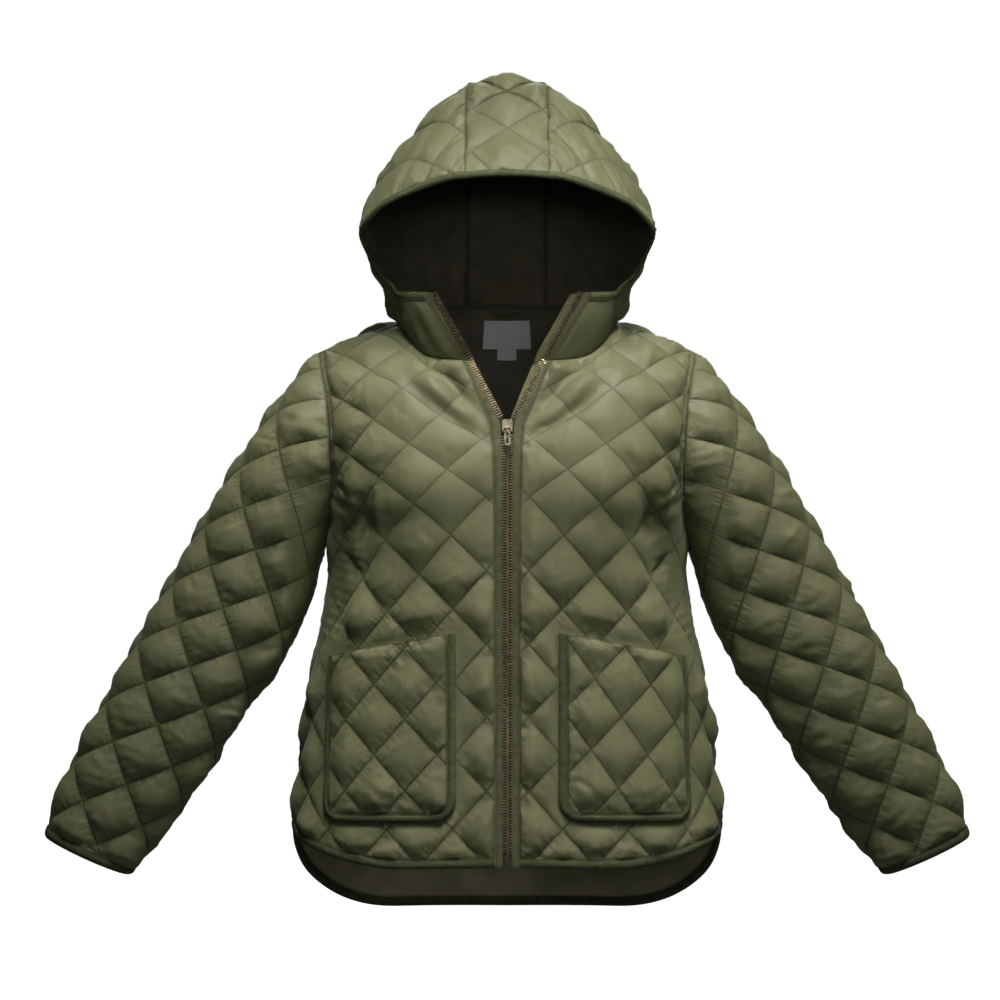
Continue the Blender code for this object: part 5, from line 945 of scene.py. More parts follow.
# ---- fine sizes of the looks, mm -------------------------------------------------------------------
POINTS_ACROSS = 17  # mesh points along each side of a diamond
PLAIN_LATTICE = Lattice(60.0, 60.0, 0.0, 0.0)  # what rows the points of an unquilted piece
PLAIN_POINTS = 12  # and how many of them it has along each side
LINING_STEP = 14.0  # spacing of the lining's points
LINING_CLEAR = 5.0  # and their least distance from an edge
EDGE_CLEAR = 2.2  # no free point is nearer than this to an edge
SEAM_PUFF = 11.0  # the wadding is full this far from a seam
BAND = 6.5  # from a seam to its line of topstitching
FULL = 1.28  # the quilting stands higher between the stitches than in the solids
PILLOW_POWER = 0.78  # of the quilting's profile: less is flatter on top and steeper at the stitches
SAG = 1.22  # the wadding sinks towards the bottom of a diamond
PUCKER = 0.8  # height of the puckers that run off the stitch lines
SEAM_PUCKER = 2.2  # and of those beside the seams
LOWEST = -1.2  # no point of the shell is deeper than this under its stitched surface
CREASE = 2.5  # height of the creases between the stitch lines
CREASES = 5  # soft creases in each diamond, of which the first ones are short
SHORT_CREASES = 3
CREASE_LOTS = 997  # sets of random numbers, which the diamonds draw their creases from
PULL_REACH = 45.0  # the surface bends to a shared seam over this distance
FAR = 60.0  # the greatest distance that the materials are told
TOOTH_PITCH = 3.05
TOOTH_LONG, TOOTH_THICK, TOOTH_DEEP = 5.2, 1.45, 2.4
LEFT_POCKET_DIAMOND = (63.7, 78.1)  # that pocket is cut with its quilting not quite upright
LEFT_POCKET_CROSSING = (124.0, 402.0)
LEFT_POCKET_LEAN, LEFT_POCKET_TILT = -0.052, 0.0875


# ---- noise and heights -------------------------------------------------------------------------------
def smooth_step(x):
    x = np.clip(x, 0, 1)
    return x * x * (3 - 2 * x)


def noise(u, v, size, seed):
    """Smooth noise from -1 to 1 that repeats after 64 cells."""
    table = np.random.RandomState(seed).uniform(-1, 1, (64, 64))
    x, y = u / size, v / size
    i, j = np.floor(x).astype(int), np.floor(y).astype(int)
    fx, fy = smooth_step(x - i), smooth_step(y - j)
    i, j, i1, j1 = i % 64, j % 64, (i + 1) % 64, (j + 1) % 64
    low = table[i, j] * (1 - fx) + table[i1, j] * fx
    high = table[i, j1] * (1 - fx) + table[i1, j1] * fx
    return low * (1 - fy) + high * fy


def sunk(share, way):
    """A share of a diamond's side, moved so that its middle is lower down: way is 1, 0 or -1."""
    if way > 0:
        return share**SAG
    return 1 - (1 - share) ** SAG if way < 0 else share


def creases(lattice, a, b, seed, lie):
    """Soft creases, a few in each diamond, about one way: 0 is down the cut, pi / 2 across it."""
    i, j = np.floor(a), np.floor(b)
    cell = (i * 57 + j * 131 + seed * 17).astype(int) % CREASE_LOTS
    x = (a - i + b - j - 1) * lattice.wide / 2
    y = (a - i - (b - j)) * lattice.tall / 2
    height = np.zeros(len(a))
    for k in range(CREASES):
        lot = np.random.RandomState(seed * 31 + k).uniform(0, 1, (CREASE_LOTS, 7))[cell].T
        reach, narrow = (15, 1) if k < SHORT_CREASES else (26, 0.4)
        angle = lie + (lot[0] - 0.5) * 2.1
        off_x = x - (lot[1] - 0.5) * 2 * reach * narrow
        off_y = y - (lot[2] - 0.5) * 2 * reach
        width, length = 2.8 + 3.0 * lot[3], 8 + 12 * lot[4]
        along = off_x * np.sin(angle) + off_y * np.cos(angle)
        bow = (lot[6] - 0.5) * 0.03 * along * along
        off = (off_x * np.cos(angle) - off_y * np.sin(angle) + bow) / width
        profile = np.exp(-(off**2)) - 0.4 * np.exp(-((off / 2) ** 2))
        strength = (lot[5] * 1.8 - 0.9) * CREASE
        height += strength * profile * np.exp(-((along / length) ** 2))
    return height


def quilting(lattice, places, seed, down, lie, gather):
    """The height of the quilted cloth: pillows between the lines, puckers that run off the lines and
    soft creases over the pillows. down is the way that hangs down in the flat cut."""
    a, b = lattice_ab(lattice, places)
    per = 1 / math.hypot(1 / lattice.wide, 1 / lattice.tall)
    side = math.hypot(lattice.wide, lattice.tall) / 2
    share_a = sunk(a - np.floor(a), down[0] + down[1])
    share_b = sunk(b - np.floor(b), down[0] - down[1])
    pillow = (np.sin(math.pi * share_a) * np.sin(math.pi * share_b)).clip(0) ** PILLOW_POWER
    fullness = 0.9 + 0.16 * noise(np.floor(a) * 7.3, np.floor(b) * 5.1, 1.0, seed)
    height = PUFF * FULL * pillow * fullness
    for across, along, turn in ((a, b, 1), (b, a, 2)):
        gap = np.abs(across - np.round(across)) * per
        line = np.round(across)
        wave = noise(along * side, line * 31.0 + gap * 0.3, 10.5, seed + 10 + turn)
        strong = 0.5 + 0.5 * noise(along * side, line * 13.0, 46.0, seed + turn)
        height = height + PUCKER * gather * wave * strong * smooth_step(gap / 4.5) * np.exp(-gap / 10.0)
    return height + creases(lattice, a, b, seed, lie) * smooth_step(pillow * 1.8) * gather**0.8


def plain_cloth(places, seed):
    u, v = places.T
    return 1.5 * noise(u, v * 0.3, 12.0, seed) + 0.5 * noise(u * 0.6, v, 11.0, seed + 1)


# ---- meshes --------------------------------------------------------------------------------------------
def triangulated(outline_count, places):
    """Triangles over places, whose first ones are the outline."""
    edges = [(k, (k + 1) % outline_count) for k in range(outline_count)]
    vectors = [Vector((float(u), float(v))) for u, v in places]
    found = geometry.delaunay_2d_cdt(vectors, edges, [], 1, 1e-5)
    order = [ids[0] for ids in found[3]]
    faces = np.array([[order[i] for i in face] for face in found[2] if len(face) == 3])
    return faces


def add_object(name, data):
    made = bpy.data.objects.new(name, data)
    bpy.context.scene.collection.objects.link(made)
    return made


def make_mesh(name, points, faces, materials, sharp, kinds=None):
    """A smooth piece from points in millimetres, riding on the jacket's body. It has a sharp edge
    where two faces meet at more than some degrees."""
    mesh = bpy.data.meshes.new(name)
    places = [tuple(p) for p in np.asarray(points) * MM]
    mesh.from_pydata(places, [], [tuple(int(i) for i in f) for f in faces])
    for one in materials:
        mesh.materials.append(one)
    if kinds is not None:
        mesh.polygons.foreach_set("material_index", np.asarray(kinds, np.int32))
    mesh.shade_smooth()
    mesh.set_sharp_from_angle(angle=math.radians(sharp))
    made = add_object(name, mesh)
    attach(made, "jacket")
    return made


def paint_map(made, name, values):
    """A UV map from two numbers per point."""
    layer = made.data.uv_layers.new(name=name)
    index = np.empty(len(made.data.loops), np.int32)
    made.data.loops.foreach_get("vertex_index", index)
    layer.data.foreach_set("uv", np.asarray(values, np.float32)[index].ravel())


def paint_number(made, name, values):
    attribute = made.data.attributes.new(name, "FLOAT", "POINT")
    attribute.data.foreach_set("value", np.asarray(values, np.float32))


def signed_volume(points, faces):
    corner = points[faces]
    return (corner[:, 0] * np.cross(corner[:, 1], corner[:, 2])).sum()


def twice_area(outline):
    return turn_of(outline, np.roll(outline, -1, axis=0)).sum()


SEAM_WAYS = {}  # the directions out of the pieces that meet at each point of a seam


def seam_key(point):
    return tuple(np.round(np.abs(point[:1]), 1)) + tuple(np.round(point[1:], 1))


def fullness(points):
    """How full the quilting is: flatter over the chest and shoulders, where the cloth is stretched."""
    x, y, z = np.abs(points[:, 0]), points[:, 1], points[:, 2]
    chest = (1 - smooth_step((x - 130) / 50)) * (1 - smooth_step((-z - 215) / 120)) * smooth_step(-y / 40)
    top = (1 - smooth_step((-z + 5) / 90)) * smooth_step((20 - z) / 30)
    nape = smooth_step((175 - z) / 80) * smooth_step((z - 20) / 20) * smooth_step((x - 60) / 40)
    return 1 - 0.6 * np.maximum(chest, top * 0.6) - 0.75 * nape


SOFT_FOLDS = (
    # points (x, z) down one side, height and half width; a valley has a negative height
    (((84, -32), (64, -66), (38, -90), (22, -97)), 0.35, 3.2),
    (((76, -36), (57, -72), (33, -98), (22, -103)), -0.4, 2.2),
    (((92, -46), (70, -82), (44, -102), (20, -110)), 0.4, 3.2),
    (((98, -58), (74, -92), (48, -109), (20, -117)), -0.4, 2.2),
    (((104, -76), (80, -102), (52, -116), (22, -125)), 0.3, 3.2),
    (((150, -162), (140, -185), (136, -215), (140, -262)), 1.8, 5.5),
    (((166, -178), (154, -205), (152, -236), (160, -285)), -2.4, 5.5),
    (((190, -172), (176, -184), (160, -190)), -1.6, 3.4),
    (((192, -192), (178, -203), (160, -208)), -1.6, 3.4),
    (((190, -182), (176, -194), (160, -200)), 1.0, 3.4),
)


def soft_folds(points):
    """Larger folds of the fronts, mirrored on the other side."""
    place = np.column_stack([np.abs(points[:, 0]), points[:, 2]])
    height = np.zeros(len(points))
    for line, tall, width in SOFT_FOLDS:
        gap, along = near_line(resample(np.array(line, float), 14), place)
        end = np.minimum(along, 1 - along)
        height += tall * np.exp(-((gap / width) ** 2)) * smooth_step(end / 0.3 + 0.25)
    return height * smooth_step(-points[:, 1] / 30)


def bust(points):
    """The fronts swell a little at the bust."""
    x, z = np.abs(points[:, 0]) - 92, points[:, 2] + 222
    drop = np.where(z > 0, z / 62, z / 48)
    return 7.5 * np.exp(-((x / 48) ** 2) - drop**2) * smooth_step(-points[:, 1] / 40)


def zip_puckers(places, points, edge):
    """Short slanting folds where the cloth gathers at the zip's tape."""
    u, z = places[:, 0] - TAPE_REACH, points[:, 2]
    side = np.sign(points[:, 0])
    wave = noise((places[:, 1] - 0.75 * u) + 400 * side, side * 50.0, 7.5, 71)
    patch = 0.5 + 0.5 * noise(places[:, 1] + 300 * side, side * 90.0, 33.0, 72)
    low = smooth_step((-z - 190) / 110)
    strong = 0.25 + 0.75 * low * (1 - 0.5 * smooth_step((-z - 380) / 60))
    return 3.3 * wave * patch * strong * np.exp(-((u / 20) ** 2)) * smooth_step(edge / 4.0)


class Panel:
    """A sewn piece with a fine mesh. banded are the edges with topstitching beside them, flattened
    gives the share of the quilting's height that is left, lift how far the lining stands over the
    patch, and down the way that hangs down in the flat cut. lie is the way of the creases, full how
    high the pillows stand and gather how strong the puckers are."""

    def __init__(self, name, cloth, edges, lattice=None, banded=(), flattened=None, lift=None,
                 seed=1, down=(0, 1), lie=0.0, full=1.0, gather=1.0):
        self.name, self.cloth, self.lattice, self.seed = name, cloth, lattice, seed
        self.flattened, self.down, self.lie, self.full, self.gather = flattened, down, lie, full, gather
        self.lift = lift or (lambda places: np.full(len(places), -WALL))
        self.banded = [edges[k].places for k in banded]
        self.outline = np.concatenate([edge.places[:-1] for edge in edges])
        self.points = np.concatenate([edge.points[:-1] for edge in edges]) * [cloth.side, 1, 1]
        if twice_area(self.outline) < 0:
            self.outline, self.points = self.outline[::-1].copy(), self.points[::-1].copy()
        self.surface, normals = cloth.spot(self.outline)
        for point, normal in zip(self.points, normals):
            turn = [np.sign(point[0]) or 1, 1, 1]
            SEAM_WAYS.setdefault(seam_key(point), []).append(normal * turn)

    def seam_ways(self):
        """The direction out of the cloth at each point of the outline, as its neighbours have it."""
        found = [sum(SEAM_WAYS[seam_key(p)]) * [np.sign(p[0]) or 1, 1, 1] for p in self.points]
        ways = unit(np.array(found))
        for _ in range(3):
            ways = unit(ways * 2 + np.roll(ways, 1, axis=0) + np.roll(ways, -1, axis=0))
        return ways

    def pull(self, places):
        """How far the surface moves so that it meets the seams' shared points."""
        shift = self.points - self.surface
        moved = np.zeros((len(places), 3))
        for start in range(0, len(places), 4000):
            block = places[start : start + 4000]
            gap = np.linalg.norm(block[:, None] - self.outline[None], axis=2)
            fade = np.clip(1 - gap.min(1) / PULL_REACH, 0, 1)[:, None] ** 2
            moved[start : start + 4000] = shift[gap.argmin(1)] * fade
        return moved

    def clear(self, places, least):
        """Those of the places that are inside the outline and at least so far from it."""
        places = places[inside(self.outline, places)]
        return places[from_outline(self.outline, places) > least]

    def free_places(self):
        """Places for the shell's points, in rows along the stitch lines."""
        lattice, count = PLAIN_LATTICE, PLAIN_POINTS
        if self.lattice is not None:
            lattice, count = self.lattice, POINTS_ACROSS
        share = np.linspace(0, 1, count + 1)[:-1]
        share = share - 0.035 * np.sin(2 * math.pi * share)  # closer together at the lines
        steps = []
        for crossed in lattice_ab(lattice, self.outline):
            whole = np.arange(math.floor(crossed.min()), math.ceil(crossed.max()) + 1)
            steps.append((whole[:, None] + share).ravel())
        places = lattice_place(lattice, *(grid.ravel() for grid in np.meshgrid(*steps)))
        low, high = self.outline.min(0), self.outline.max(0)
        return self.clear(places[((places > low) & (places < high)).all(1)], EDGE_CLEAR)

    def lining_places(self):
        """Places for the lining's points, in square rows."""
        low, high = self.outline.min(0), self.outline.max(0)
        steps = [np.arange(low[k], high[k], LINING_STEP) for k in range(2)]
        return self.clear(np.column_stack([grid.ravel() for grid in np.meshgrid(*steps)]), LINING_CLEAR)

    def height(self, places, on):
        """The height of the shell over its stitched surface, where on are the points in space."""
        edge = from_outline(self.outline, places)
        if self.lattice is None:
            return plain_cloth(places, self.seed) * smooth_step(edge / 12)
        height = quilting(self.lattice, places, self.seed, self.down, self.lie, self.gather)
        height = height * fullness(on) * self.full
        height *= np.clip(edge / SEAM_PUFF, 0, 1) ** 0.7
        if self.banded:
            band = near_lines(self.banded, places)
            height *= 0.12 + 0.88 * smooth_step((band - BAND) / 9.0) ** 0.6
        if self.flattened:
            height *= self.flattened(places, on)
        if "front" in self.name:
            folds = (soft_folds(on) + bust(on)) * smooth_step(edge / 14.0)
            height += folds + zip_puckers(places, on, edge)
        wrinkle = noise(*places.T, 8.5, self.seed + 5) + 0.5 * noise(*places.T, 5.5, self.seed + 6)
        pucker = SEAM_PUCKER * self.gather**0.5 * wrinkle
        height += pucker * smooth_step(edge / 3.5) * np.exp(-edge / 9.0)
        return np.maximum(height, LOWEST)

    def ripple(self, places, on):
        """The height of the lining over its smooth surface."""
        deep = 3.0 if "hood" in self.name else 0.8
        return deep * noise(*places.T, 37.0, self.seed + 40) - deep + 0.4

    def skin(self, ways, free, height, base):
        """One side of the cloth, from its outline and free places: points, faces and places."""
        places = np.vstack([self.outline, free])
        on, out = self.cloth.spot(free)
        on = on + self.pull(free)
        over = height(free, on) + self.lift(free) + base
        rim = self.points + ways * (self.lift(self.outline)[:, None] + base)
        points = np.vstack([rim, on + out * over[:, None]])
        return points, triangulated(len(self.outline), places), places

    def build(self, outer_material, inner_material):
        ways = self.seam_ways()
        outer, outer_faces, outer_places = self.skin(ways, self.free_places(), self.height, WALL)
        inner, inner_faces, inner_places = self.skin(ways, self.lining_places(), self.ripple, 0.0)
        k = np.arange(len(self.outline))
        j = (k + 1) % len(k)
        below = len(outer)
        rim = [np.column_stack([j, k, k + below]), np.column_stack([j, k + below, j + below])]
        points = np.vstack([outer, inner])
        faces = np.vstack([outer_faces, inner_faces[:, ::-1] + below, *rim])
        kinds = np.repeat([0, 1, 0], [len(outer_faces), len(inner_faces), 2 * len(k)])
        if signed_volume(points, faces) < 0:
            faces = faces[:, ::-1]
        made = make_mesh(self.name, points, faces, [outer_material, inner_material], 60, kinds)
        self.paint(made, points, np.vstack([outer_places, inner_places]))
        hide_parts(self.name.replace("fine_", ""))

    def paint(self, made, points, places):
        """What the materials read: the flat cut, stitch lines crossed and distances from seams."""
        crossed = np.full((len(places), 2), 0.5)
        if self.lattice is not None:
            crossed = np.column_stack(lattice_ab(self.lattice, places))
        band = near_lines(self.banded, places) if self.banded else np.full(len(places), FAR)
        paint_map(made, "cut", places * MM)
        paint_map(made, "quilt", crossed)
        paint_number(made, "band", np.minimum(band, FAR))
        paint_number(made, "edge", np.minimum(from_outline(self.outline, places), FAR))
        # how deep the quilting is, which sets its puckers and how strong the painted shade in its grooves is
        paint_number(made, "deep", np.clip(fullness(points) * self.gather**0.5, 0.3, 1.3))


def add_ribbon(name, rings, material, closed=False, node=None, sharp=50):
    """A strip through rings of points, with a map along it (u) and round it (v), in metres."""
    rings = np.array(rings, float)
    count, around = rings.shape[:2]
    faces = []
    for i in range(count if closed else count - 1):
        j = (i + 1) % count
        for k in range(around):
            m = (k + 1) % around
            faces.append((i * around + k, i * around + m, j * around + m, j * around + k))
    if not closed:
        last = (count - 1) * around
        faces += [tuple(reversed(range(around))), tuple(range(last, last + around))]
    points = rings.reshape(-1, 3)
    fans = np.array([(f[0], f[k], f[k + 1]) for f in faces for k in range(1, len(f) - 1)])
    if signed_volume(points, fans) < 0:
        faces = [tuple(reversed(face)) for face in faces]
    made = make_mesh(name, points, faces, [material], sharp=sharp)
    along = lengths_along(rings.mean(axis=1))
    across = np.concatenate([[0.0], np.cumsum(np.linalg.norm(np.diff(rings, axis=1), axis=2).mean(axis=0))])
    cut = np.stack(np.broadcast_arrays(along[:, None], across[None, :]), axis=2).reshape(-1, 2)
    paint_map(made, "cut", cut * MM)
    if node:
        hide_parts(node)
    return made


# ---- materials -----------------------------------------------------------------------------------------
class Shader:
    """Builds a material's nodes. Numbers and sockets can stand for each other in its calls."""

    def __init__(self, name):
        self.material = bpy.data.materials.new(name)
        self.material.use_nodes = True
        self.tree = self.material.node_tree
        self.principled = self.tree.nodes["Principled BSDF"]

    def feed(self, socket, value):
        """Gives a socket a constant, or the value of another socket."""
        if hasattr(value, "is_linked"):
            self.tree.links.new(value, socket)
        else:
            socket.default_value = value

    def set(self, **values):
        for name, value in values.items():
            self.feed(self.principled.inputs[name.replace("_", " ")], value)

    def node(self, kind, outputs=0, settings=None, **inputs):
        """An output of a new node. An input goes by its name, or by i and its number."""
        made = self.tree.nodes.new(kind)
        for name, value in (settings or {}).items():
            setattr(made, name, value)
        for name, value in inputs.items():
            numbered = name[0] == "i" and name[1:].isdigit()
            self.feed(made.inputs[int(name[1:]) if numbered else name.replace("_", " ")], value)
        return made.outputs[outputs]

    def math(self, operation, a, b=0.0, clamp=False):
        settings = {"operation": operation, "use_clamp": clamp}
        return self.node("ShaderNodeMath", settings=settings, i0=a, i1=b)

    def plus(self, first, *more):
        return reduce(lambda a, b: self.math("ADD", a, b), more, first)

    def times(self, first, *more):
        return reduce(lambda a, b: self.math("MULTIPLY", a, b), more, first)

    def minus(self, a, b):
        return self.math("SUBTRACT", a, b)

    def most(self, a, b):
        return self.math("MAXIMUM", a, b)

    def least(self, a, b):
        return self.math("MINIMUM", a, b)

    def gap(self, a, b):
        return self.math("ABSOLUTE", self.minus(a, b))

    def wave(self, x, length):
        return self.math("SINE", self.times(x, 2 * math.pi / length))

    def map(self, name):
        vector = self.node("ShaderNodeUVMap", settings={"uv_map": name})
        parts = self.tree.nodes.new("ShaderNodeSeparateXYZ")
        self.tree.links.new(vector, parts.inputs[0])
        return parts.outputs[0], parts.outputs[1]

    def number(self, name):
        return self.node("ShaderNodeAttribute", 2, {"attribute_name": name})

    def vector(self, x, y, z=0.0):
        return self.node("ShaderNodeCombineXYZ", i0=x, i1=y, i2=z)

    def noise(self, vector, scale, detail=2.0, rough=0.5):
        inputs = {"Vector": vector, "Scale": scale, "Detail": detail, "Roughness": rough}
        return self.node("ShaderNodeTexNoise", **inputs)

    def ramp(self, x, low, high, from_value, to_value):
        """from_value where x is low, to_value where it is high, with a smooth turn between."""
        settings = {"interpolation_type": "SMOOTHSTEP"}
        return self.node("ShaderNodeMapRange", 0, settings, i0=x, i1=low, i2=high, i3=from_value, i4=to_value)

    def mix(self, share, first, second, how="MIX"):
        made = self.tree.nodes.new("ShaderNodeMix")
        made.data_type, made.blend_type = "RGBA", how
        for place, value in ((0, share), (6, first), (7, second)):
            self.feed(made.inputs[place], value)
        return made.outputs[2]

    def grey(self, tone):
        return self.node("ShaderNodeCombineColor", i0=tone, i1=tone, i2=tone)

    def tinted(self, base, tone):
        """A colour made lighter or darker by a tone about 1."""
        return self.mix(1.0, base, self.grey(tone), "MULTIPLY")

    def bump(self, height, distance, normal=None):
        inputs = {"Height": height, "Distance": distance}
        if normal is not None:
            inputs["Normal"] = normal
        return self.node("ShaderNodeBump", 0, None, Strength=1.0, **inputs)


def colour(base, share=1.0):
    """A colour for a socket, made lighter or darker by a share."""
    return (*[part * share for part in base], 1.0)


SHELL_COLOUR = (0.146, 0.150, 0.071)
LINING_COLOUR = (0.105, 0.092, 0.054)
# painted light: a much lighter copy of the lining, for the inside of the hem, where light reaches
HEM_LINING_PAINTED_LIGHT = (0.41, 0.385, 0.225)
BINDING_COLOUR = (0.086, 0.093, 0.045)
TAPE_COLOUR = (0.100, 0.102, 0.052)
TEETH_COLOUR = (0.30, 0.235, 0.15)
SLIDER_COLOUR = (0.16, 0.145, 0.10)
LABEL_COLOUR = (0.88, 0.89, 0.88)
WHITE = (1, 1, 1)
SHEEN_COLOUR = (0.75, 0.8, 0.6)
DIAMOND_SIDE = 51.5  # mm, which turns a count of stitch lines into a distance
STITCH = 3.2  # mm from one stitch to the next
STITCH_SHOWS = 0.7  # share of it that the thread covers
TO_MM = 1000.0


def dashes(shader, along, gap, length, share, wide):
    """1 on the stitches of a line that runs along, within wide of it."""
    phase = shader.math("FRACT", shader.math("DIVIDE", along, length))
    on = shader.math("LESS_THAN", phase, share)
    return shader.times(on, shader.ramp(gap, wide * 0.6, wide, 1.0, 0.0))


def stitch_line(s, across, along):
    """The distance from the nearest stitch line of one way, and the run along it, in mm."""
    gap = s.times(s.gap(across, s.math("ROUND", across)), DIAMOND_SIDE)
    return gap, s.times(along, DIAMOND_SIDE)


def line_pucker(s, gap, run, shift):
    """The puckers that run off the stitch lines of one way."""
    field = s.noise(s.vector(s.times(run, 0.13), s.times(gap, 0.03), shift), 1.0, 1.5, 0.5)
    fade = s.times(s.ramp(gap, 0.3, 2.5, 0.0, 1.0), s.ramp(gap, 2.5, 17.0, 1.0, 0.0))
    return s.times(s.minus(field, 0.5), fade)


def seam_pucker(s, u, v, edge):
    """The puckers beside the piece's own edge."""
    field = s.noise(s.vector(s.times(u, 170.0), s.times(v, 170.0)), 1.0, 2.0, 0.55)
    fade = s.times(s.ramp(edge, 0.5, 3.0, 0.0, 1.0), s.ramp(edge, 3.0, 14.0, 1.0, 0.15))
    return s.times(s.minus(field, 0.5), fade, 0.5)


def shell_material(name):
    """Quilted cloth: sewn lines with painted shade in their grooves, their thread, puckers beside them, and a
    fine weave.
    """
    s = Shader(name)
    u, v = s.map("cut")
    a, b = s.map("quilt")
    edge, deep = s.number("edge"), s.number("deep")
    (gap_a, run_a), (gap_b, run_b) = stitch_line(s, a, b), stitch_line(s, b, a)
    gap, stitched = s.least(gap_a, gap_b), s.gap(s.number("band"), BAND)
    large, small = s.noise(s.vector(u, v), 9.0, 3.0), s.noise(s.vector(u, v), 160.0, 2.0)
    slub = s.noise(s.vector(s.times(u, 40.0), s.times(v, 900.0)), 1.0, 1.0)
    slub_two = s.noise(s.vector(s.times(u, 900.0), s.times(v, 40.0), 7.0), 1.0, 1.0)
    weave = s.plus(slub, slub_two)
    tone = s.plus(s.ramp(large, 0.3, 0.7, 0.93, 1.07), s.ramp(small, 0.3, 0.7, -0.03, 0.03))
    tone = s.plus(tone, s.times(s.minus(weave, 1.0), 0.10))

    # painted shade: the colour darkens in the stitch lines' grooves, at the topstitching and at the seams,
    # more where the quilting is deep
    narrowed = s.times(gap, s.ramp(deep, 1.0, 1.3, 1.0, 0.55))
    quilted = s.math("MULTIPLY", s.ramp(narrowed, 0.2, 2.0, 0.85, 0.0), deep, clamp=True)
    groove_shade = s.most(quilted, s.ramp(s.least(stitched, edge), 0.3, 2.4, 0.85, 0.0))
    cloth = s.mix(groove_shade, s.tinted(colour(SHELL_COLOUR), tone), colour(SHELL_COLOUR, 0.35))
    pairs = ((run_a, gap_a), (run_b, gap_b))
    sewn = [dashes(s, *pair, STITCH, STITCH_SHOWS, 0.55) for pair in pairs]
    band_run = s.times(s.plus(u, s.times(v, 0.7)), TO_MM)
    thread = s.most(s.most(*sewn), dashes(s, band_run, stitched, STITCH, STITCH_SHOWS, 0.5))
    cloth = s.mix(s.times(thread, 0.8), cloth, colour(SHELL_COLOUR, 0.62))

    pucker = s.plus(line_pucker(s, gap_a, run_a, 0.0), line_pucker(s, gap_b, run_b, 50.0))
    gathered = s.times(s.math("POWER", deep, 2.0), 1.5)
    pucker = s.times(s.plus(pucker, seam_pucker(s, u, v, edge)), gathered)
    sunk_line = s.ramp(s.least(gap, stitched), 0.0, 1.4, -0.28, 0.0)
    rough = s.bump(s.plus(pucker, s.plus(sunk_line, s.times(thread, 0.14))), 0.0012)
    s.set(Base_Color=cloth, Roughness=s.ramp(large, 0.3, 0.7, 0.52, 0.6))
    s.set(Normal=s.bump(weave, 0.00012, rough))
    s.set(Sheen_Weight=0.12, Sheen_Roughness=0.4, Sheen_Tint=colour(SHEEN_COLOUR), Specular_IOR_Level=0.3)
    return s.material


def lining_material(name, hem=None):
    """The lining; below half a metre of the cut it takes the hem colour, if there is one, as painted light.
    """
    s = Shader(name)
    u, v = s.map("cut")
    cut = s.vector(u, v)
    base = colour(LINING_COLOUR)
    # painted light: the lining turns lighter towards the hem
    if hem is not None:
        base = s.mix(s.ramp(v, 0.40, 0.50, 0.0, 1.0), base, colour(hem))
    field = s.noise(cut, 30.0, 3.0)
    # painted shade: the lining darkens towards its seams
    seam = s.ramp(s.number("edge"), 0.5, 5.0, 0.7, 0.0)
    cloth = s.mix(seam, s.tinted(base, s.ramp(field, 0.3, 0.7, 0.85, 1.15)), colour(LINING_COLOUR, 0.35))
    weave = s.bump(s.noise(cut, 1500.0, 1.0), 0.0001, s.bump(field, 0.002))
    s.set(Base_Color=cloth, Roughness=0.62, Normal=weave, Sheen_Weight=0.1)
    return s.material


def tape_material(name, base, rib, stitch_at=None, shaded_from=None):
    """A woven tape with ribs across it and, if asked, stitches along it with painted shade in their groove,
    and painted shade under the zip's teeth.
    """
    s = Shader(name)
    u, v = s.map("cut")
    ribs, weft = s.wave(u, rib), s.wave(v, rib * 0.8)
    field = s.noise(s.vector(u, v), 140.0, 3.0)
    cloth = s.tinted(colour(base), s.plus(s.ramp(field, 0.3, 0.7, 0.82, 1.16), s.times(ribs, 0.05)))
    height = s.times(s.plus(ribs, s.times(weft, 0.5)), 0.16)
    if stitch_at is not None:
        gap = s.gap(s.times(v, TO_MM), stitch_at)
        thread = dashes(s, s.times(u, TO_MM), gap, 3.0, 0.72, 0.6)
        # painted shade in the groove of the stitch line
        cloth = s.mix(s.ramp(gap, 0.2, 1.3, 0.7, 0.0), cloth, colour(base, 0.45))
        cloth = s.mix(s.times(thread, 0.8), cloth, colour(base, 1.2))
        height = s.plus(height, s.plus(s.ramp(gap, 0.0, 1.3, -1.2, 0.0), s.times(thread, 0.6)))
    # painted shade under the zip's teeth, from that distance across the tape on
    if shaded_from is not None:
        far = s.ramp(s.times(v, TO_MM), shaded_from, shaded_from + 1.0, 0.0, 0.9)
        cloth = s.mix(far, cloth, colour(base, 0.2))
    s.set(Base_Color=cloth, Roughness=0.8, Normal=s.bump(height, 0.0003), Specular_IOR_Level=0.08)
    return s.material


def brass_material(name, base, metallic=1.0):
    """Antique brass: dark blotches and fine scratches."""
    s = Shader(name)
    place = s.node("ShaderNodeTexCoord", 3)
    field, scratch = s.noise(place, 320.0, 4.0, 0.65), s.noise(place, 2600.0, 2.0)
    dark = colour([part * share for part, share in zip(base, (0.5, 0.45, 0.4))])
    metal = s.mix(s.ramp(field, 0.40, 0.58, 0.0, 1.0), dark, colour(base))
    s.set(Base_Color=metal, Metallic=metallic, Roughness=s.ramp(scratch, 0.3, 0.7, 0.32, 0.52))
    s.set(Normal=s.bump(field, 0.00006))
    return s.material


def label_material():
    s = Shader("label_woven")
    u, v = s.map("cut")
    lines, field = s.wave(v, 0.0006), s.noise(s.vector(u, v), 500.0, 2.0)
    cloth = s.tinted(colour(LABEL_COLOUR), s.ramp(field, 0.3, 0.7, 0.92, 1.04))
    s.set(Base_Color=cloth, Roughness=0.7, Normal=s.bump(s.plus(lines, field), 0.0001))
    return s.material


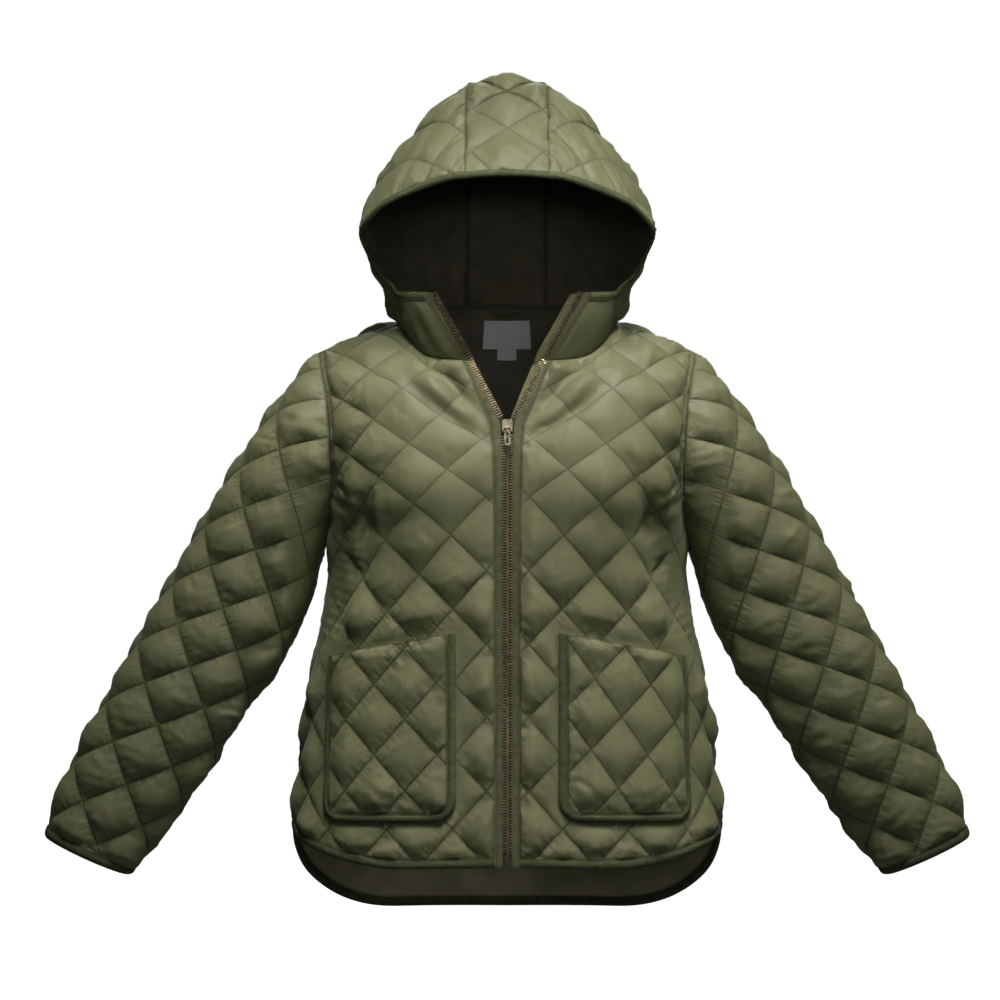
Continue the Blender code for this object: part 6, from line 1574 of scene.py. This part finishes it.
# ---- the pieces ------------------------------------------------------------------------------------------
SHELL = shell_material("quilted_cloth")
LINING = lining_material("hood_lining")
BODY_LINING = lining_material("body_lining", HEM_LINING_PAINTED_LIGHT)
BOUND = tape_material("binding_tape", BINDING_COLOUR, 0.0011, stitch_at=1.6)
TAPE = tape_material("zip_tape_weave", TAPE_COLOUR, 0.0014, stitch_at=1.4, shaded_from=7.6)
PLAIN_SHELL = tape_material("plain_cloth", SHELL_COLOUR, 0.0007)
BRASS_TEETH = brass_material("brass_teeth", TEETH_COLOUR, 0.65)
BRASS_DARK = brass_material("brass_antique", SLIDER_COLOUR)
LABEL = label_material()
SIDES = ((1, "left"), (-1, "right"))  # the wearer's left is at +X


UNDER_ARM = np.array([212.0, 0.0, -275.0])  # the middle of where a sleeve lies against the side
UNDER_ARM_REACH = np.array([30.0, 85.0, 95.0])


def under_arm(places, points):
    """The share of the quilting's height that is left where a sleeve lies against the side."""
    place = np.column_stack([np.abs(points[:, 0]), points[:, 1:]])
    off = np.abs(place - UNDER_ARM) / UNDER_ARM_REACH
    return PUFF_UNDER_ARM + (1 - PUFF_UNDER_ARM) * np.clip((off.max(axis=1) - 1) * 2.5, 0, 1)


def under_pocket(jacket):
    """The same as a function, for a front that lies under a pocket and the arm."""
    outline = pocket_path(jacket, 0)

    def share(places, points):
        gap = from_outline(outline, places)
        held = np.where(inside(outline, places), PUFF_UNDER_POCKET, 1.0)
        return held * np.clip((gap - 5.0) / 20.0, 0, 1) ** 0.8 * under_arm(places, points)

    return share


def pocket_lift(jacket):
    """How far a pocket's lining stands over the front, as a function: more in its middle."""
    sewn = pocket_path(jacket, BINDING)

    def lift(places):
        gap = near_lines([sewn], places)
        return POCKET_EDGE_LIFT + (POCKET_LIFT - POCKET_EDGE_LIFT) * np.clip(gap / 24.0, 0, 1)

    return lift


def lattices_of(j):
    """The quilting of each piece, in its flat cut."""
    front_v, pocket_v = (j.v_at_height(j.front, z) for z in (CROSSING_HEIGHT, POCKET_CROSSING[1]))
    back_v = j.v_at_height(j.back, CROSSING_HEIGHT)
    lean, tilt = LEFT_POCKET_LEAN, LEFT_POCKET_TILT
    return {
        "front": Lattice(DIAMOND_WIDE, DIAMOND_TALL, FIRST_COLUMN, front_v, tight=CHEST_TIGHT),
        "back": Lattice(DIAMOND_WIDE, DIAMOND_TALL, 0.0, back_v),
        "sleeve": Lattice(*SLEEVE_DIAMOND, *SLEEVE_CROSSING, SLEEVE_LEAN, SLEEVE_TILT),
        "hood_side": Lattice(*HOOD_DIAMOND, *HOOD_CROSSING, -HOOD_TURN, HOOD_TURN),
        "hood_centre": Lattice(*STRIP_DIAMOND, *STRIP_CROSSING, tight=STRIP_TIGHT),
        "pocket_right": Lattice(*POCKET_DIAMOND, POCKET_CROSSING[0], pocket_v),
        "pocket_left": Lattice(*LEFT_POCKET_DIAMOND, *LEFT_POCKET_CROSSING, lean, tilt),
    }


def picked(edges, names):
    return [edges[name] for name in names.split()]


def with_mirror(half):
    """The edges of a piece that crosses the middle, from those of its +X half."""
    return half + [mirrored(edge) for edge in reversed(half)]


def build_panels(jacket):
    j = jacket
    front = j.edges_of_front()
    back = j.edges_of_back(front)
    (cap_f, low_f, cuff_f), (cap_b, low_b, cuff_b) = j.edges_of_sleeve(front, back)
    hood = j.edges_of_hood(front, back)
    collar = j.edges_of_collar(front, hood)
    lattices = lattices_of(j)
    pocket_edge = pocket_path(j, BINDING + SEAM_GAP)
    pocket_top = np.linspace(pocket_edge[-1], pocket_edge[0], 30)
    front_edges = picked(front, "neck_zip neck_hood shoulder arm side hem zip")
    sleeve_edges = [cap_f, low_f, cuff_f] + [mirrored_places(e) for e in (cuff_b, low_b, cap_b)]
    side_edges = picked(hood, "seam neck collar face")
    pocket_edges = [j.free(j.front, pocket_edge), j.free(j.front, pocket_top)]
    panels = []
    for (side, word), seed in zip(SIDES, (3, 103)):

        def add(name, patches, edges, seed, **looks):
            cloth = Cloth(*patches, side=side)
            lattice = lattices.get(name, lattices.get(f"{name}_{word}"))
            panels.append(Panel(f"fine_{name}_{word}", cloth, edges, lattice, seed=seed, **looks))

        add("front", [j.front], front_edges, seed, banded=[3], flattened=under_pocket(j))
        arm = [j.sleeve_front, j.sleeve_back]
        add("sleeve", arm, sleeve_edges, seed + 1, flattened=under_arm, lie=1.4, full=0.85)
        add("hood_side", [j.hood], side_edges, seed + 2, down=(1, 0), full=0.85, gather=2.4)
        add("collar", [j.collar], collar, seed + 3)
        add("pocket", [j.front], pocket_edges, seed + 4, lift=pocket_lift(j), full=0.68)
    half = [reverse(edge) for edge in picked(back, "neck_strip neck_hood")]
    edges = with_mirror(half + picked(back, "shoulder arm side hem"))
    cloth = Cloth(j.back, j.back)
    panels.append(Panel("fine_back", cloth, edges, lattices["back"], (3, 8), under_arm, seed=9))
    edges = with_mirror(picked(hood, "strip_face strip_seam strip_neck"))
    looks = {"down": (0, -1), "full": 1.3, "gather": 2.2}
    cloth = Cloth(j.strip, j.strip)
    panels.append(Panel("fine_hood_centre", cloth, edges, lattices["hood_centre"], seed=12, **looks))
    for panel in panels:
        panel.build(SHELL, BODY_LINING if panel.name == "fine_back" else LINING)


TAPE_OVERLAP = 1.6  # of a folded tape over the cloth that it binds
ROUND_HEIGHTS = (0.6, 1.3, 1.4, 0.9, -0.7)  # of a binding's five lines over the cloth
POCKET_HEIGHTS = (0.3, 0.9, 0.9, 0.4, -1.6)  # and of a pocket's


def wrapped(run, tops, lows):
    """Rings round a strip: over its lines at some heights, and back under them at others."""
    upper, lower = (run.points + run.normals * np.reshape(h, (len(h), -1, 1)) for h in (tops, lows))
    return np.concatenate([upper, lower[::-1]]).transpose(1, 0, 2)


def bound_rings(run):
    """Rings round a folded tape: over the cloth, round its edge and back under it."""
    points = np.array(run.points)
    points[0] += unit(points[0] - points[1]) * TAPE_OVERLAP
    return wrapped(Run(points, run.normals), ROUND_HEIGHTS, [-WALL - h for h in ROUND_HEIGHTS])


def pocket_rings(run):
    """Rings round a pocket's tape, which ends where it is sewn to the front."""
    tops = [POCKET_EDGE_LIFT + WALL + h for h in POCKET_HEIGHTS]
    return wrapped(run, tops, [POCKET_EDGE_LIFT] * len(tops))


def flat_rings(run, top, low, lines=2):
    """Rings of a flat strip, with its first and last lines as its long edges."""
    share = np.linspace(0, 1, lines)[:, None, None]
    points = run.points[0] * (1 - share) + run.points[-1] * share
    ways = unit(run.normals[0] * (1 - share) + run.normals[-1] * share)
    return wrapped(Run(points, ways), [top] * lines, [low] * lines)


def add_binding(kind, place, rings, closed=False):
    """A folded tape, wide when it is laid open."""
    node = f"{kind}_binding{place}"
    add_ribbon(f"bound_{kind}{place}", rings, BOUND, closed, node)


def build_tapes(jacket):
    j = jacket
    front = run_of(Cloth(j.front), *j.front_hem)
    back = across_middle(flipped(run_of(Cloth(j.back), *j.back_hem)))
    add_binding("hem", "_back", bound_rings(back))
    cuff = cuff_run(j)
    pocket = run_of(Cloth(j.front), pocket_path(j, BINDING + SEAM_GAP), pocket_path(j, 0))
    for side, word in SIDES:
        add_binding("hem", "_front_" + word, bound_rings(sided(front, side)))
        add_binding("cuff", "_" + word, bound_rings(sided(cuff, side)), closed=True)
        add_binding("pocket", "_" + word, pocket_rings(sided(pocket, side)))
    add_binding("hood", "", bound_rings(across_middle(hood_run(j))))


TOOTH_PROFILE = (
    # the distance along a tooth, and its height and depth as shares of the full ones
    (-1.1, 1.0, 1.0),
    (0.9, 1.0, 1.0),
    (TOOTH_LONG - 1.1, 0.8, 0.86),
    (TOOTH_LONG - 0.2, 0.95, 0.74),
    (TOOTH_LONG, 0.6, 0.5),
)
TOOTH_RING = ((-1, -0.55), (-0.6, -1), (0.6, -1), (1, -0.55), (1, 0.55), (0.6, 1), (-0.6, 1), (-1, 0.55))


def add_tooth(points, faces, origin, along, down, out):
    """Adds one tooth: a rounded block that narrows towards its tip."""
    start, around = len(points), len(TOOTH_RING)
    for far, tall, deep in TOOTH_PROFILE:
        centre = origin + along * far
        half, depth = TOOTH_THICK / 2 * tall, TOOTH_DEEP / 2 * deep
        points += [centre + down * half * x + out * depth * y for x, y in TOOTH_RING]
    last = len(points) - around
    for ring in range(start, last, around):
        for k in range(around):
            a, b = ring + k, ring + (k + 1) % around
            faces.append((a, b, b + around, a + around))
    faces.append(tuple(reversed(range(start, start + around))))
    faces.append(tuple(range(last, last + around)))


def add_teeth(name, node, run, first):
    """Teeth along a run's first line, from first on, which reach away from its second line."""
    line = run.points[0]
    along = lengths_along(line)
    at = np.arange(first, along[-1] - TOOTH_PITCH / 2, TOOTH_PITCH)

    def read(values):
        return np.stack([np.interp(at, along, values[:, k]) for k in range(3)], axis=1)

    place, down = read(line), unit(read(np.gradient(line, along, axis=0)))
    out, way = unit(read(run.normals[0])), unit(read(line - run.points[1]))
    side = unit(np.cross(down, out))
    side *= np.sign((side * way).sum(axis=1, keepdims=True))
    points, faces = [], []
    for k in range(len(at)):
        add_tooth(points, faces, place[k] - out[k] * WALL / 2, side[k], down[k], out[k])
    made = make_mesh(name, np.array(points), faces, [BRASS_TEETH], 40)
    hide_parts(node)


def build_zip(jacket):
    j = jacket
    top, low = (-WALL + TAPE_THICK) / 2, (-WALL - TAPE_THICK) / 2
    chain = (CHAIN_HALF, CHAIN_HALF + 1.0)
    tape = zip_run(j, 1.2, TAPE_REACH - 0.2, None, HEM_FRONT + 1.0)
    tape = Run(tape.points[::-1], tape.normals[::-1])  # its map starts at the sewn edge
    edge = zip_run(j, *chain, None, SLIDER_TOP + 0.5)
    closed = zip_run(j, *chain, SLIDER_BOTTOM - 0.5, STOP_TOP + 0.5)
    for (side, word), first in zip(SIDES, (1.5, 1.5 + TOOTH_PITCH / 2)):
        rings = flat_rings(sided(tape, side), top, low, 4)
        node = "zip_tape_" + word
        add_ribbon("woven_tape_" + word, rings, TAPE, node=node)
        add_teeth("teeth_open_" + word, "zip_teeth_open_" + word, sided(edge, side), first)
        add_teeth("teeth_closed_" + word, "zip_teeth_closed", sided(closed, side), first)
    facing = facing_run(zip_run(j, 0.2, TAPE_REACH - 1.5, None, SLIDER_TOP + SEAM_GAP))
    rings = flat_rings(facing, -WALL - 0.4, -WALL - 1.8, 6)
    node = "zip_facing_left"
    add_ribbon("facing_edge_left", rings, PLAIN_SHELL, node=node)
    for name in ("zip_slider", "zip_pull", "zip_stop"):
        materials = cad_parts[name].data.materials
        materials.clear()
        materials.append(BRASS_DARK)


def build_labels(cloth):
    """The two labels below the neck seam, one under the other and a little wavy."""
    drop = LABEL_DROP
    along, down = np.linspace(0, 4, 15), np.linspace(0, 5, 9)
    heights = -WALL - LABEL_OFF + 0.35 * np.sin(down)[:, None] * np.cos(along)[None, :]
    sizes = {"neck_label": (LABEL_WIDE, LABEL_TALL), "size_tab": (TAG_WIDE, TAG_TALL)}
    for name, (wide, tall) in sizes.items():
        u = np.linspace(-wide / 2, wide / 2, len(along))
        levels = np.linspace(drop, drop + tall, len(down))
        run = run_of_lines(cloth, [np.column_stack([u, np.full(len(u), v)]) for v in levels])
        rings = wrapped(run, heights, heights - LABEL_THICK)
        add_ribbon("bare_" + name, rings, LABEL, node=name, sharp=40)
        drop += tall + SEAM_GAP


def build_loop(cloth):
    """The hanger loop, a band that sags from the neck seam."""
    u = np.linspace(-LOOP_WIDE / 2, LOOP_WIDE / 2, 41)
    sag = LOOP_SAG * (1 - (2 * u / LOOP_WIDE) ** 2)
    run = run_of_lines(cloth, [np.column_stack([u, 1.5 + sag + w]) for w in (0.0, LOOP_BAND)])
    rings = flat_rings(run, -WALL - LOOP_OFF, -WALL - LOOP_OFF - LOOP_THICK, 3)
    loop = add_ribbon("loop_band", rings, BOUND, node="hanger_loop")


# ---- stage, light and camera, in metres ---------------------------------------------------------
FLOOR = ((-18, -12, -5.9), (18, -12, -5.9), (18, 28, -5.9), (-18, 28, -5.9))
BACKDROP = ((-6, 28, -5.9), (6, 28, -5.9), (6, 28, 5.6), (-6, 28, 5.6))

Light = namedtuple("Light", "name size power place aim spread", defaults=(180,))
LIGHTS = (
    Light("key", (1.1, 0.8), 103, (0.36, -1.1, 2.95), (0, -0.05, -0.2)),
    Light("right", (0.8, 0.8), 12, (1.6, -1.1, 2.2), (0, -0.05, -0.2)),
    Light("chest", (0.6, 0.6), 0.66, (0.15, -1.45, 2.0), (0, -0.12, -0.2), 9),
    Light("neck", (0.5, 0.5), 0.042, (0.05, -3.0, 0.1), (0, 0.05, -0.03), 12),
    Light("back", (1.5, 0.8), 20, (0, 2.8, 1.7), (0, 0.05, -0.2)),
    Light("front", (2.4, 1.6), 9, (0.3, -3.4, 0.6), (0, -0.05, -0.2)),
)
WORLD_STRENGTH = 0.01
CAMERA_PLACE = (-0.008, -3.2, -0.192)
SENSOR, LENS = 36.0, 101.9  # mm


def build_stage():
    """A pale floor far below and, far behind, a pale wall that glows like a lit screen."""
    floor = add_sheet("pale_floor", FLOOR, 0.0)
    wall = add_sheet("pale_wall", BACKDROP, 1.0)


def add_sheet(name, corners, glow):
    mesh = bpy.data.meshes.new(name)
    mesh.from_pydata(corners, [], [(0, 1, 2, 3)])
    s = Shader(name + "_paper")
    paper = s.grey(s.ramp(s.noise(s.node("ShaderNodeTexCoord", 3), 2.0), 0.3, 0.7, 0.84, 0.88))
    s.set(Base_Color=paper, Roughness=0.9, Emission_Color=colour(WHITE), Emission_Strength=glow)
    mesh.materials.append(s.material)
    return add_object(name, mesh)


def build_lights():
    for light in LIGHTS:
        data = bpy.data.lights.new(light.name, "AREA")
        data.shape, data.energy = "RECTANGLE", light.power
        data.size, data.size_y = light.size
        data.spread = math.radians(light.spread)
        made = add_object(light.name, data)
        made.location = light.place
        way = Vector(light.aim) - Vector(light.place)
        made.rotation_euler = way.to_track_quat("-Z", "Y").to_euler()
    world = bpy.data.worlds.new("studio")
    bpy.context.scene.world = world
    world.use_nodes = True
    background = world.node_tree.nodes["Background"]
    background.inputs[0].default_value = colour(WHITE)
    background.inputs[1].default_value = WORLD_STRENGTH


def build_camera():
    data = bpy.data.cameras.new("camera")
    data.sensor_width, data.lens = SENSOR, LENS
    made = add_object("camera", data)
    made.location = CAMERA_PLACE
    made.rotation_euler = (math.pi / 2, 0, 0)
    bpy.context.scene.camera = made


jacket = Jacket()
build_panels(jacket)
build_tapes(jacket)
build_zip(jacket)
back_cloth = Cloth(jacket.back, jacket.back)
build_labels(back_cloth)
build_loop(back_cloth)
build_stage()
build_lights()
build_camera()
bpy.context.scene.view_settings.view_transform = "Standard"
